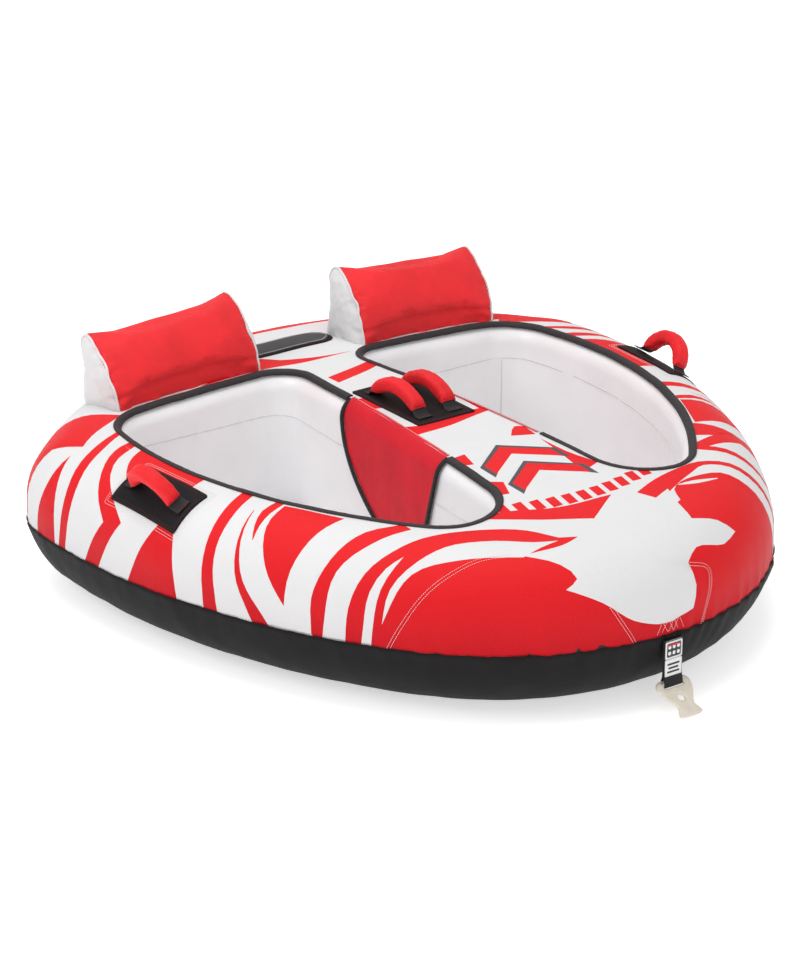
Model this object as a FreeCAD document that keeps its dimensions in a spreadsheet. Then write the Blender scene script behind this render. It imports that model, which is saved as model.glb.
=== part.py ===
import FreeCAD, Part
import math
import os

import Sketcher

# Two-rider cockpit towable tube, in millimetres.
# +Z is up, the bow with its tow strap points to -Y, the backrests stand at +Y, and the tube is
# symmetric about X = 0. The origin is on the ground under the middle of the whole object.
# The skin is built in layers: every layer is the same rounded hull, grown or shrunk a few millimetres.

SIZES = {
    # plan outline of the hull: bow arc, two side arcs, two corner arcs and a stern arc, all tangent
    "BowRadius": 640, "BowY": -169,
    "SideRadius": 1500,
    "CornerRadius": 215, "CornerX": 597, "CornerY": 424,
    "SternRadius": 1020,
    # section of the hull
    "HullHeight": 406, "CrownRadius": 7250, "CrownY": 95,
    "DeckFillet": 150, "BottomFillet": 190, "SeamHeight": 165, "SkirtBottom": 4,
    # skins
    "CoverSkin": 3, "PatchSkin": 3, "WebbingSkin": 2.5, "HarnessSkin": 2,
    # plan outline of a well: three corner circles, a side arc and two straight edges, all tangent
    "WellFrontX": 273, "WellFrontY": -345, "WellFrontRadius": 130,
    "WellOuterX": 488, "WellOuterY": 386, "WellOuterRadius": 118,
    "WellInnerX": 170, "WellInnerY": 418, "WellInnerRadius": 85,
    "WellSideRadius": 983, "WellWallInset": 20, "WellFillet": 45,
    "BindingOutside": 10, "BindingInside": 8,
    "PadHeight": 60, "PadFillet": 20, "PadGap": 2,
    # cloth flap on each side of the divider
    "FlapRearY": 213, "FlapFrontY": -175, "FlapFootRearY": -30, "FlapFootFrontY": -118,
    "FlapTop": 352, "FlapFoot": 70,
    # backrests
    "RestInnerX": 153, "RestWidth": 398, "RestTilt": 3.6,
    "RestTopY": 640, "RestTopZ": 515, "RestTopRadius": 30,
    "RestFrontY": 514, "RestFrontZ": 392, "RestFrontRadius": 240,
    "GussetDepth": 12, "PipingSize": 2.5, "PipingWidth": 4,
    # handles: an arch of webbing in a padded sleeve
    "SideHandleX": 714, "SideHandleY": 86, "SideHandleHeading": 86,
    "SideArchRadius": 65, "SideArchHeight": 63, "SideGripAngle": 146, "SideLoopAngle": 154,
    "SideAnchorReach": 78,
    "CentreHandleX": 42, "CentreHandleY": 118, "CentreHandleHeading": 90,
    "CentreArchRadius": 121, "CentreArchHeight": 46, "CentreGripAngle": 76, "CentreLoopAngle": 84,
    "CentreAnchorReach": 92,
    "GripRadius": 18, "GripBore": 13, "LoopWidth": 16, "LoopThick": 4, "HandlePivot": 8,
    "AnchorLong": 34, "AnchorWide": 38,
    "SidePatchWide": 112, "SidePatchLong": 220, "CentrePatchWide": 160, "CentrePatchLong": 262,
    "PatchLow": 280,
    # tow gear at the bow
    "HarnessLow": 128, "HarnessHigh": 178, "HarnessY": -330,
    "TabWide": 64, "TabDrop": 40,
    "StrapWide": 50, "StrapThick": 5, "StrapLong": 104, "StrapEye": 9, "StrapBore": 5.3,
    "LabelWide": 46, "LabelThick": 0.8, "UpperLabelLong": 40, "LowerLabelLong": 42,
    "ConnectorThick": 8, "ConnectorHole": 9, "ConnectorHoleY": -40, "ConnectorBar": 5,
    "ConnectorSlot": 27, "ConnectorShoulder": 46, "ConnectorNeck": 22, "ConnectorFoot": 29,
    "ConnectorHead": 7, "ConnectorSlotDeep": 12, "ConnectorNeckStart": 56, "ConnectorNeckEnd": 64,
    "ConnectorLong": 86, "ConnectorCorner": 3, "ConnectorLean": 55,
    # main valve, under a flap between the backrests
    "ValveY": 640, "ValveRadius": 30, "ValveBore": 22, "ValveDepth": 18, "ValveFloor": 4,
    "LidThick": 8, "LidPlay": 0.4, "LidKeyLong": 30, "LidKeyWide": 5, "LidKeyRise": 4,
    "FlapLong": 262, "FlapWide": 86, "FlapLift": 0.5, "PatchMargin": 8,
    # small valve at the back of each backrest
    "RestValveX": 352, "RestValveZ": 440, "RestValveRadius": 15, "RestValveStem": 8,
    # closing zipper round the stern
    "ZipperLow": 188, "ZipperHigh": 212, "ZipperAngle": 34, "TapeSkin": 1.5, "ToothSkin": 3.5,
    "ToothHeight": 6, "SliderLow": 4, "SliderHigh": 8, "SliderLong": 16, "SliderTall": 12,
    "PullLow": 8.6, "PullHigh": 10.6, "PullWide": 8, "PullHang": 34, "PullHead": 1.2,
}

doc = FreeCAD.newDocument("TowableTube")
sheet = doc.addObject("Spreadsheet::Sheet", "Sizes")
for row, (alias, value) in enumerate(SIZES.items(), start=1):
    sheet.set(f"A{row}", alias)
    sheet.set(f"B{row}", str(value))
    sheet.setAlias(f"B{row}", alias)
doc.recompute()

FINISHED = {}          # node name -> document object
TINY = 0.5             # how near an edge must lie to count as on a surface


def size(alias):
    """A driving dimension, read back from the sheet."""
    return float(sheet.get(alias))


def worked_out(expression):
    """The value of a sum of sheet names and numbers."""
    return float(sheet.evalExpression(expression))


def bind(target, **expressions):
    """Bind properties of an object to the sheet."""
    for prop, expression in expressions.items():
        if not isinstance(expression, str):
            setattr(target, prop, expression)
            continue
        words = expression.replace("(", "( ").replace(")", " )").split()
        full = " ".join(f"Sizes.{word}" if word in SIZES else word for word in words)
        target.setExpression(prop, full)
    return target


def finish(node, target):
    """Name a sub-part: its label is the name of its node."""
    target.Label = node
    FINISHED[node] = target
    return target


def vector(x=0.0, y=0.0, z=0.0):
    return FreeCAD.Vector(x, y, z)


def place(target, position, axis=(0, 0, 1), angle=0.0):
    target.Placement = FreeCAD.Placement(vector(*position), FreeCAD.Rotation(vector(*axis), angle))
    return target


# ---------------------------------------------------------------- sketches of tangent arcs

def circles_meet(centre_a, radius_a, centre_b, radius_b, side):
    """The point at two distances from two centres, on the left (+1) or right (-1) of a to b."""
    along = centre_b - centre_a
    gap = along.Length
    reach = (radius_a ** 2 - radius_b ** 2 + gap ** 2) / (2 * gap)
    rise = math.sqrt(radius_a ** 2 - reach ** 2)
    across = vector(-along.y, along.x)
    return centre_a + along * (reach / gap) + across * (side * rise / gap)


def heading(start, end):
    return math.atan2(end.y - start.y, end.x - start.x)


def arc(centre, radius, start, end):
    """An arc from one angle to another, anticlockwise."""
    return Part.ArcOfCircle(Part.Circle(vector(centre.x, centre.y), vector(0, 0, 1), radius), start, end)


def tangent_line(centre_a, radius_a, centre_b, radius_b):
    """The straight edge that touches two circles on the right of the way from a to b."""
    along = centre_b - centre_a
    gap = along.Length
    lean = math.asin((radius_a - radius_b) / gap)
    turn = heading(centre_a, centre_b) - math.pi / 2 + lean
    out = vector(math.cos(turn), math.sin(turn))
    return Part.LineSegment(centre_a + out * radius_a, centre_b + out * radius_b), turn


def empty_sketch(body, name, plane="XY_Plane"):
    """A sketch on one of a body's own planes."""
    sketch = body.newObject("Sketcher::SketchObject", name)
    support = [item for item in body.Origin.OriginFeatures if item.Role == plane][0]
    sketch.AttachmentSupport = [(support, "")]
    sketch.MapMode = "FlatFace"
    return sketch


def polygon(sketch, points):
    """Straight edges from each point to the next and back to the first."""
    count = len(points)
    sketch.addGeometry([Part.LineSegment(points[n], points[(n + 1) % count]) for n in range(count)], False)
    for number in range(count):
        sketch.addConstraint(Sketcher.Constraint("Coincident", number, 2, (number + 1) % count, 1))


def hold_point(sketch, edge, name, x_expression, y_expression):
    """Hold an edge's start at its distances from the sketch's origin."""
    start = sketch.Geometry[edge].StartPoint
    for kind, letter, value, expression in (
        ("DistanceX", "X", start.x, x_expression), ("DistanceY", "Y", start.y, y_expression),
    ):
        number = sketch.addConstraint(Sketcher.Constraint(kind, -1, 1, edge, 1, value))
        sketch.renameConstraint(number, name + letter)
        bind(sketch, **{f"Constraints.{name}{letter}": expression})


def loop_sketch(body, name, edges):
    """A sketch of edges in order, each tangent to the next."""
    sketch = empty_sketch(body, name)
    sketch.addGeometry(edges, False)
    for index in range(len(edges)):
        sketch.addConstraint(Sketcher.Constraint("Tangent", index, 2, (index + 1) % len(edges), 1))
    return sketch


def pin_radius(sketch, index, name, expression):
    number = sketch.addConstraint(Sketcher.Constraint("Radius", index, sketch.Geometry[index].Radius))
    sketch.renameConstraint(number, name)
    bind(sketch, **{f"Constraints.{name}": expression})


def pin_centre(sketch, index, name, x_expression, y_expression):
    """Hold an arc's centre (point 3) at its distances from the origin."""
    centre = sketch.Geometry[index].Center
    for kind, letter, value, expression in (
        ("DistanceX", "X", centre.x, x_expression), ("DistanceY", "Y", centre.y, y_expression),
    ):
        if expression == "0":
            sketch.addConstraint(Sketcher.Constraint("PointOnObject", index, 3, -2))
            continue
        number = sketch.addConstraint(Sketcher.Constraint(kind, -1, 1, index, 3, value))
        sketch.renameConstraint(number, name + letter)
        bind(sketch, **{f"Constraints.{name}{letter}": expression})


def hull_outline(body, name, grow):
    """The hull's plan outline, all its radii grown by one amount."""
    bow = vector(0, size("BowY"))
    corner = vector(size("CornerX"), size("CornerY"))
    side_reach = size("SideRadius")
    side = circles_meet(bow, side_reach - size("BowRadius"), corner, side_reach - size("CornerRadius"), 1)
    stern_reach = size("SternRadius") - size("CornerRadius")
    stern = vector(0, corner.y - math.sqrt(stern_reach ** 2 - corner.x ** 2))
    first = heading(side, bow)
    second = heading(side, corner)
    third = heading(stern, corner)
    mirrored = [vector(-point.x, point.y) for point in (side, corner)]
    edges = [
        arc(bow, size("BowRadius") + grow, -math.pi - first, first),
        arc(side, side_reach + grow, first, second),
        arc(corner, size("CornerRadius") + grow, second, third),
        arc(stern, size("SternRadius") + grow, third, math.pi - third),
        arc(mirrored[1], size("CornerRadius") + grow, math.pi - third, math.pi - second),
        arc(mirrored[0], side_reach + grow, math.pi - second, math.pi - first),
    ]
    sketch = loop_sketch(body, name, edges)
    pin_centre(sketch, 0, "Bow", "0", "BowY")
    pin_centre(sketch, 2, "Right", "CornerX", "CornerY")
    pin_centre(sketch, 4, "Left", "- CornerX", "CornerY")
    for index, part_name, radius in (
        (0, "BowArc", "BowRadius"), (1, "SideArc", "SideRadius"), (2, "CornerArc", "CornerRadius"),
        (3, "SternArc", "SternRadius"), (4, "CornerTwin", "CornerRadius"), (5, "SideTwin", "SideRadius"),
    ):
        pin_radius(sketch, index, part_name, f"{radius} + {grow}")
    return sketch


def well_outline(body, name, grow):
    """The right well's plan outline, all its radii grown by one amount."""
    front = vector(size("WellFrontX"), size("WellFrontY"))
    outer = vector(size("WellOuterX"), size("WellOuterY"))
    inner = vector(size("WellInnerX"), size("WellInnerY"))
    front_radius = size("WellFrontRadius")
    outer_radius = size("WellOuterRadius")
    inner_radius = size("WellInnerRadius")
    side_radius = size("WellSideRadius")
    side = circles_meet(front, side_radius - front_radius, outer, side_radius - outer_radius, 1)
    first = heading(side, front)
    second = heading(side, outer)
    rear_edge, rear_turn = tangent_line(outer, outer_radius + grow, inner, inner_radius + grow)
    inner_edge, inner_turn = tangent_line(inner, inner_radius + grow, front, front_radius + grow)
    edges = [
        arc(front, front_radius + grow, inner_turn, first),
        arc(side, side_radius + grow, first, second),
        arc(outer, outer_radius + grow, second, rear_turn),
        rear_edge,
        arc(inner, inner_radius + grow, rear_turn, inner_turn),
        inner_edge,
    ]
    sketch = loop_sketch(body, name, edges)
    pin_centre(sketch, 0, "Front", "WellFrontX", "WellFrontY")
    pin_centre(sketch, 2, "Outer", "WellOuterX", "WellOuterY")
    pin_centre(sketch, 4, "Inner", "WellInnerX", "WellInnerY")
    for index, part_name, radius in (
        (0, "FrontArc", "WellFrontRadius"), (1, "SideArc", "WellSideRadius"),
        (2, "OuterArc", "WellOuterRadius"), (4, "InnerArc", "WellInnerRadius"),
    ):
        pin_radius(sketch, index, part_name, f"{radius} + {grow}")
    return sketch


def rest_outline(body, name, grow):
    """A backrest's section across Y and Z: bulged front, small round top, upright back."""
    top = vector(size("RestTopY"), size("RestTopZ"))
    foot = vector(size("RestFrontY"), size("RestFrontZ"))
    front_radius = size("RestFrontRadius")
    top_radius = size("RestTopRadius")
    front = circles_meet(top, front_radius - top_radius, foot, front_radius, 1)
    lean = heading(front, top)
    back = top.x + top_radius + grow
    heel = vector(front.x - front_radius - grow, front.y)
    toe = vector(back, front.y)
    sketch = empty_sketch(body, name, "YZ_Plane")
    sketch.addGeometry([
        arc(top, top_radius + grow, 0, lean),
        arc(front, front_radius + grow, lean, math.pi),
        Part.LineSegment(heel, toe),
        Part.LineSegment(toe, vector(back, top.y)),
    ], False)
    sketch.addConstraint(Sketcher.Constraint("Tangent", 0, 2, 1, 1))
    sketch.addConstraint(Sketcher.Constraint("Tangent", 3, 2, 0, 1))
    sketch.addConstraint(Sketcher.Constraint("Coincident", 1, 2, 2, 1))
    sketch.addConstraint(Sketcher.Constraint("Coincident", 2, 2, 3, 1))
    sketch.addConstraint(Sketcher.Constraint("Horizontal", 2))
    sketch.addConstraint(Sketcher.Constraint("Vertical", 3))
    pin_centre(sketch, 0, "Top", "RestTopY", "RestTopZ")
    pin_radius(sketch, 0, "TopArc", f"RestTopRadius + {grow}")
    pin_radius(sketch, 1, "FrontArc", f"RestFrontRadius + {grow}")
    return sketch


def pad(outline, name, grow, low, length):
    """A body padded up from a height by a length; both are sheet expressions."""
    body = doc.addObject("PartDesign::Body", name)
    sketch = outline(body, name + "Sketch", grow)
    feature = body.newObject("PartDesign::Pad", name + "Pad")
    feature.Profile = sketch
    bind(feature, Length=length)
    bind(body, **{"Placement.Base.z": low})
    return body


# ---------------------------------------------------------------- booleans and primitives

def cut(name, base, *tools):
    for number, tool in enumerate(tools):
        result = doc.addObject("Part::Cut", f"{name}Cut{number}")
        result.Base = base
        result.Tool = tool
        base = result
    return base


def common(name, *shapes):
    base = shapes[0]
    for number, tool in enumerate(shapes[1:]):
        result = doc.addObject("Part::Common", f"{name}Common{number}")
        result.Base = base
        result.Tool = tool
        base = result
    return base


def fuse(name, *shapes):
    result = doc.addObject("Part::MultiFuse", name + "Fuse")
    result.Shapes = list(shapes)
    return result


def mirror(name, source):
    """The same piece on the other side of X = 0."""
    result = doc.addObject("Part::Mirroring", name + "Mirror")
    result.Source = source
    result.Normal = vector(1, 0, 0)
    return result


def box(name, length, width, height, position, angle=0.0):
    """A box centred in X and Y on a position, standing on it."""
    solid = doc.addObject("Part::Box", name)
    bind(solid, Length=length, Width=width, Height=height)
    doc.recompute([solid])
    turn = FreeCAD.Rotation(vector(0, 0, 1), angle)
    half = vector(float(solid.Length) / 2, float(solid.Width) / 2)
    solid.Placement = FreeCAD.Placement(vector(*position) - turn.multVec(half), turn)
    return solid


def cylinder(name, radius, height, position, axis=(0, 0, 1), angle=0.0, sweep="360"):
    solid = doc.addObject("Part::Cylinder", name)
    bind(solid, Radius=radius, Height=height, Angle=sweep)
    return place(solid, position, axis, angle)


# ---------------------------------------------------------------- the hull and its layers

def crown_height(x, y):
    """The top of the crowned deck, before its edges are rounded."""
    drop = size("CrownRadius") - math.sqrt(size("CrownRadius") ** 2 - x ** 2 - (y - size("CrownY")) ** 2)
    return size("HullHeight") - drop


def middle_of(edge):
    return edge.valueAt((edge.FirstParameter + edge.LastParameter) / 2)


def round_edges(name, base, radius, chosen):
    """Round the edges of a shape that a test picks out."""
    rounded = doc.addObject("Part::Fillet", name)
    rounded.Base = base
    rounded.Edges = [(number, radius, radius) for number, edge in enumerate(base.Shape.Edges, start=1)
                     if chosen(edge)]
    doc.recompute()
    return rounded


def hull(name, grow):
    """The whole rounded hull with both wells through it, grown by one amount."""
    block = pad(hull_outline, name + "Block", grow, f"0 - ( {grow} )", "HullHeight + 60")
    crown = doc.addObject("Part::Sphere", name + "Crown")
    bind(crown, Radius=f"CrownRadius + {grow}")
    lying = FreeCAD.Rotation(vector(1, 0, 0), 90).multiply(FreeCAD.Rotation(vector(0, 0, 1), -90))
    low = vector(0, size("CrownY"), size("HullHeight") - size("CrownRadius"))
    crown.Placement = FreeCAD.Placement(low, lying)   # its poles and seam stay away from the deck
    domed = common(name + "Domed", block, crown)
    shrink = -size("WellWallInset") - grow
    right = pad(well_outline, name + "Well", shrink, "0 - 20", "HullHeight + 100")
    left = mirror(name + "Well", right)
    open_hull = cut(name + "Open", domed, right, left)
    doc.recompute()
    wells = Part.Compound([right.Shape, left.Shape])

    def in_well(edge):
        return Part.Vertex(middle_of(edge)).distToShape(wells)[0] < TINY

    def flat_below(edge):
        return edge.BoundBox.ZMax < TINY - grow and not in_well(edge)

    def round_deck(edge):
        return edge.BoundBox.ZMin > size("HullHeight") / 2 and not in_well(edge)

    def round_well(edge):
        return edge.BoundBox.ZMin > size("HullHeight") / 2 and in_well(edge)

    base = round_edges(name + "RoundBelow", open_hull, size("BottomFillet") + grow, flat_below)
    base = round_edges(name + "RoundDeck", base, size("DeckFillet") + grow, round_deck)
    return round_edges(name + "RoundWells", base, size("WellFillet") + grow, round_well)


def deck_point(surface, x, y):
    """The highest point of a hull above (x, y), and the outward direction there."""
    needle = Part.makeLine(vector(x, y, 2 * size("HullHeight")), vector(x, y, size("HullHeight") / 2))
    point = max((v.Point for v in surface.common(needle).Vertexes), key=lambda p: p.z)
    touch = Part.Vertex(point)
    face = min(surface.Faces, key=lambda f: f.distToShape(touch)[0])
    out = face.normalAt(*face.Surface.parameter(point))
    return point, out if out.z > 0 else out * -1


def rest_piece(name, grow, start, length):
    """A stretch of the right backrest's section, from a distance past its inner seam."""
    body = doc.addObject("PartDesign::Body", name)
    sketch = rest_outline(body, name + "Sketch", grow)
    feature = body.newObject("PartDesign::Pad", name + "Pad")
    feature.Profile = sketch
    bind(feature, Length=length)
    tilt = FreeCAD.Rotation(vector(0, 1, 0), size("RestTilt"))
    pivot = vector(size("RestInnerX") + size("RestWidth") / 2, 0, size("RestTopZ"))
    shift = vector(size("RestInnerX") + start)
    body.Placement = FreeCAD.Placement(pivot + tilt.multVec(shift - pivot), tilt)
    return body


harness_core = hull("HarnessCore", -size("CoverSkin") - size("HarnessSkin"))
bladder_hull = hull("BladderHull", -size("CoverSkin"))
cover_hull = hull("CoverHull", 0)
patch_hull = hull("PatchHull", size("PatchSkin"))
webbing_hull = hull("WebbingHull", size("PatchSkin") + size("WebbingSkin"))
rest_envelope = rest_piece("RestEnvelope", size("PipingSize") + 0.5, -size("GussetDepth") - 0.5,
                           "RestWidth + 2 * GussetDepth + 1")
BIG = 2400


def make_cover():
    """Printed top, black skirt and black bottom, with an open edge round each well."""
    opening = pad(well_outline, "Opening", 0, "SeamHeight", "HullHeight")
    openings = [opening, mirror("Opening", opening)]
    above = box("AboveSeam", str(BIG), str(BIG), "HullHeight", (0, 0, size("SeamHeight")))
    valve_hole = cylinder("ValveHole", "ValveRadius", "HullHeight", (0, size("ValveY"), size("SeamHeight")))
    upper = common("TopCover", cover_hull, above)
    finish("top_cover", cut("TopCover", upper, bladder_hull, *openings, valve_hole))
    low = size("SkirtBottom")
    band = box("SkirtBand", str(BIG), str(BIG), "SeamHeight - SkirtBottom", (0, 0, low))
    wells = [pad(well_outline, "SkirtWell", 0, "0", "SeamHeight")]
    wells.append(mirror("SkirtWell", wells[0]))
    finish("base_skirt", cut("BaseSkirt", common("BaseSkirt", cover_hull, band), bladder_hull, *wells))
    rise = size("BottomFillet") - size("CoverSkin")
    inset = size("BottomFillet") - math.sqrt(size("BottomFillet") ** 2 - rise ** 2)
    finish("base_panel", pad(hull_outline, "BasePanel", -round(inset, 1), "0", "CoverSkin"))
    ring = cut("Binding", pad(well_outline, "BindingOuter", size("BindingOutside"), "SeamHeight", "HullHeight"),
               pad(well_outline, "BindingInner", -size("BindingInside"), "SeamHeight", "HullHeight"))
    tape = cut("BindingTape", common("BindingTape", patch_hull, ring), cover_hull, rest_envelope)
    finish("opening_binding_right", tape)
    finish("opening_binding_left", mirror("Binding", tape))


def make_bladder():
    """The inflated ring with its divider, the webbing harness round its bow and the two floor pads."""
    low = size("HarnessLow")
    band = box("HarnessBand", str(BIG), "1200", "HarnessHigh - HarnessLow", (0, size("HarnessY") - 600, low))
    around = common("Harness", bladder_hull, band)
    wells = [pad(well_outline, "HarnessWell", 40, "0", "HullHeight")]
    wells.append(mirror("HarnessWell", wells[0]))
    harness = finish("tow_harness", cut("Harness", around, harness_core, *wells))
    floor_z = crown_height(0, size("ValveY")) - size("ValveDepth")
    pocket = cylinder("ValvePocket", "ValveRadius", "ValveDepth + 20", (0, size("ValveY"), floor_z))
    finish("main_bladder", cut("MainBladder", bladder_hull, harness, pocket))
    floor_pad = pad(well_outline, "FloorPad", -size("WellWallInset") - size("PadGap"), "CoverSkin", "PadHeight")
    doc.recompute()
    floor_pad = round_edges("FloorPadRound", floor_pad, size("PadFillet"),
                            lambda edge: edge.BoundBox.ZMin > size("PadHeight"))
    finish("floor_pad_right", floor_pad)
    finish("floor_pad_left", mirror("FloorPad", floor_pad))


def make_divider_flaps():
    """Cloth that covers the divider inside each well, narrowing to a foot on the floor pad."""
    inner = vector(size("WellInnerX"), size("WellInnerY"))
    front = vector(size("WellFrontX"), size("WellFrontY"))
    inset = size("WellWallInset")
    wall, turn = tangent_line(inner, size("WellInnerRadius") - inset, front, size("WellFrontRadius") - inset)
    body = doc.addObject("PartDesign::Body", "DividerFlap")
    sketch = empty_sketch(body, "DividerFlapSketch", "YZ_Plane")
    corners = [("FlapRearY", "FlapTop"), ("FlapFrontY", "FlapTop"),
               ("FlapFootFrontY", "FlapFoot"), ("FlapFootRearY", "FlapFoot")]
    polygon(sketch, [vector(size(y), size(z)) for y, z in corners])
    for number, (y, z) in enumerate(corners):
        hold_point(sketch, number, f"Corner{number}", y, z)
    feature = body.newObject("PartDesign::Pad", "DividerFlapPad")
    feature.Profile = sketch
    bind(feature, Length="CoverSkin")
    away = vector(-math.cos(turn), -math.sin(turn))
    foot = wall.StartPoint + (wall.EndPoint - wall.StartPoint) * (
        wall.StartPoint.y / (wall.StartPoint.y - wall.EndPoint.y))
    swing = math.degrees(math.atan2(away.y, away.x))
    place(body, (foot.x, foot.y, 0), (0, 0, 1), swing)
    finish("divider_flap_right", body)
    finish("divider_flap_left", mirror("DividerFlap", body))


def make_backrests():
    """Each backrest: an inflated core in a sewn wrap, two end gussets, piping and a small valve."""
    width = size("RestWidth")
    skin = size("CoverSkin")
    gusset = size("GussetDepth")
    half_piping = size("PipingWidth") / 2
    valve_x = size("RestValveX")
    valve_z = size("RestValveZ")
    back_y = size("RestTopY") + size("RestTopRadius")
    stem_tool = cylinder("RestStemHole", "RestValveStem", "30", (valve_x, back_y + 5, valve_z), (1, 0, 0), 90)
    core = cut("RestCore", rest_piece("RestCore", -skin, 0, "RestWidth"), cover_hull, stem_tool)
    wrap = cut("RestWrap", rest_piece("RestWrap", 0, 0, "RestWidth"),
               rest_piece("RestWrapInside", -skin, 0, "RestWidth"), cover_hull, stem_tool)
    inner = cut("RestGussetInner", rest_piece("RestGussetInner", -0.5, -gusset, "GussetDepth"), cover_hull)
    outer = cut("RestGussetOuter", rest_piece("RestGussetOuter", -0.5, width, "GussetDepth"), cover_hull)
    rings = []
    for number, start in enumerate((0, width - 2 * half_piping)):
        outside = rest_piece(f"PipingOut{number}", size("PipingSize"), start, "PipingWidth")
        inside = rest_piece(f"PipingIn{number}", 0, start, "PipingWidth")
        rings.append(cut(f"Piping{number}", outside, inside, cover_hull))
    piping = doc.addObject("Part::Compound", "PipingPair")
    piping.Links = rings
    for node, piece in (
        ("backrest_bladder", core), ("backrest_wrap", wrap), ("backrest_gusset_inner", inner),
        ("backrest_gusset_outer", outer), ("backrest_piping", piping),
    ):
        finish(f"{node}_right", piece)
        finish(f"{node}_left", mirror(node.title().replace("_", ""), piece))
    flange = cylinder("RestFlange", "RestValveRadius", "2.5", (valve_x, back_y + 2.5, valve_z), (1, 0, 0), 90)
    stem = cylinder("RestStem", "RestValveStem", "18", (valve_x, back_y + 2.5, valve_z), (1, 0, 0), 90)
    bore = cylinder("RestStemBore", "RestValveStem - 3", "14", (valve_x, back_y + 4, valve_z), (1, 0, 0), 90)
    base = cut("RestValveBase", fuse("RestValveBase", flange, stem), bore)
    lid = cylinder("RestLid", "RestValveRadius - 3", "4", (valve_x, back_y + 6.8, valve_z), (1, 0, 0), 90)
    plug = cylinder("RestPlug", "RestValveStem - 3.3", "12", (valve_x, back_y + 4, valve_z), (1, 0, 0), 90)
    cap = fuse("RestValveCap", lid, plug)
    finish("backrest_valve_base_right", base)
    finish("backrest_valve_base_left", mirror("RestValveBase", base))
    finish("backrest_valve_cap_right", cap)
    finish("backrest_valve_cap_left", mirror("RestValveCap", cap))


def handle_frame(x, y, angle):
    """Where a handle stands: X runs along the grip, Z leaves the deck."""
    point, out = deck_point(cover_hull.Shape, x, y)
    along = vector(math.cos(math.radians(angle)), math.sin(math.radians(angle)))
    across = out.cross(along).normalize()
    along = across.cross(out)
    matrix = FreeCAD.Matrix(
        along.x, across.x, out.x, point.x, along.y, across.y, out.y, point.y,
        along.z, across.z, out.z, point.z, 0, 0, 0, 1)
    return FreeCAD.Placement(matrix)


def arch_frame(frame, kind, degrees, width):
    """Turns a ring drawn round Z from angle 0 into an arch that stands over the handle's middle."""
    upright = FreeCAD.Rotation(vector(1, 0, 0), 90)
    start = FreeCAD.Rotation(vector(0, 0, 1), 90 - degrees / 2)
    centre = vector(0, width / 2, size(f"{kind}ArchHeight") - size(f"{kind}ArchRadius"))
    return frame.multiply(FreeCAD.Placement(centre, upright.multiply(start)))


def make_handle(label, kind):
    """Sewn anchors, a webbing loop and a padded sleeve, at one place on the deck."""
    angle = size(f"{kind}HandleHeading")
    frame = handle_frame(size(f"{kind}HandleX"), size(f"{kind}HandleY"), angle)
    title = label.title().replace("_", "")
    sleeve = doc.addObject("Part::Torus", title + "Sleeve")
    bind(sleeve, Radius1=f"{kind}ArchRadius", Radius2="GripRadius", Angle3=f"{kind}GripAngle")
    hollow = doc.addObject("Part::Torus", title + "Hollow")
    bind(hollow, Radius1=f"{kind}ArchRadius", Radius2="GripBore", Angle3=f"{kind}GripAngle")
    grip = cut(title + "Grip", sleeve, hollow)
    grip.Placement = arch_frame(frame, kind, size(f"{kind}GripAngle"), 0)
    sweep = f"{kind}LoopAngle"
    rim = cylinder(title + "Rim", f"{kind}ArchRadius + LoopThick / 2", "LoopWidth", (0, 0, 0), sweep=sweep)
    core = cylinder(title + "Core", f"{kind}ArchRadius - LoopThick / 2", "LoopWidth", (0, 0, 0), sweep=sweep)
    webbing = cut(title + "Webbing", rim, core)
    webbing.Placement = arch_frame(frame, kind, size(sweep), size("LoopWidth"))
    ends = []
    for number, way in enumerate((-1, 1)):
        spot = frame.multVec(vector(way * size(f"{kind}AnchorReach")))
        tool = box(f"{title}Anchor{number}", "AnchorLong", "AnchorWide", "HullHeight",
                   (spot.x, spot.y, size("PatchLow")), angle)
        ends.append(cut(f"{title}Anchor{number}", common(f"{title}Anchor{number}", webbing_hull, tool), patch_hull))
    anchors = doc.addObject("Part::Compound", title + "Anchors")
    anchors.Links = ends
    pivot = frame.multVec(vector(0, 0, size("HandlePivot")))
    way = frame.Rotation.multVec(vector(1, 0, 0))
    print(f"handle_{label}: pivot {[round(v, 1) for v in pivot]} axis {[round(v, 4) for v in way]}")
    return {"handle_grip": grip, "handle_webbing": webbing, "handle_anchor": anchors}


def make_handles():
    side = make_handle("right", "Side")
    for node, piece in side.items():
        finish(f"{node}_right", piece)
        finish(f"{node}_left", mirror(node.title().replace("_", "") + "Side", piece))
    middle = make_handle("centre_right", "Centre")
    for node, piece in middle.items():
        finish(f"{node}_centre_right", piece)
        finish(f"{node}_centre_left", mirror(node.title().replace("_", "") + "Centre", piece))
    tool = box("SidePatch", "SidePatchLong", "SidePatchWide", "HullHeight",
               (size("SideHandleX"), size("SideHandleY"), size("PatchLow")), size("SideHandleHeading"))
    patch = cut("SidePatch", common("SidePatch", patch_hull, tool), cover_hull)
    finish("handle_patch_right", patch)
    finish("handle_patch_left", mirror("SidePatch", patch))
    tool = box("CentrePatch", "CentrePatchWide", "CentrePatchLong", "HullHeight",
               (0, size("CentreHandleY"), size("PatchLow")))
    finish("handle_patch_centre", cut("CentrePatch", common("CentrePatch", patch_hull, tool), cover_hull))


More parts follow.
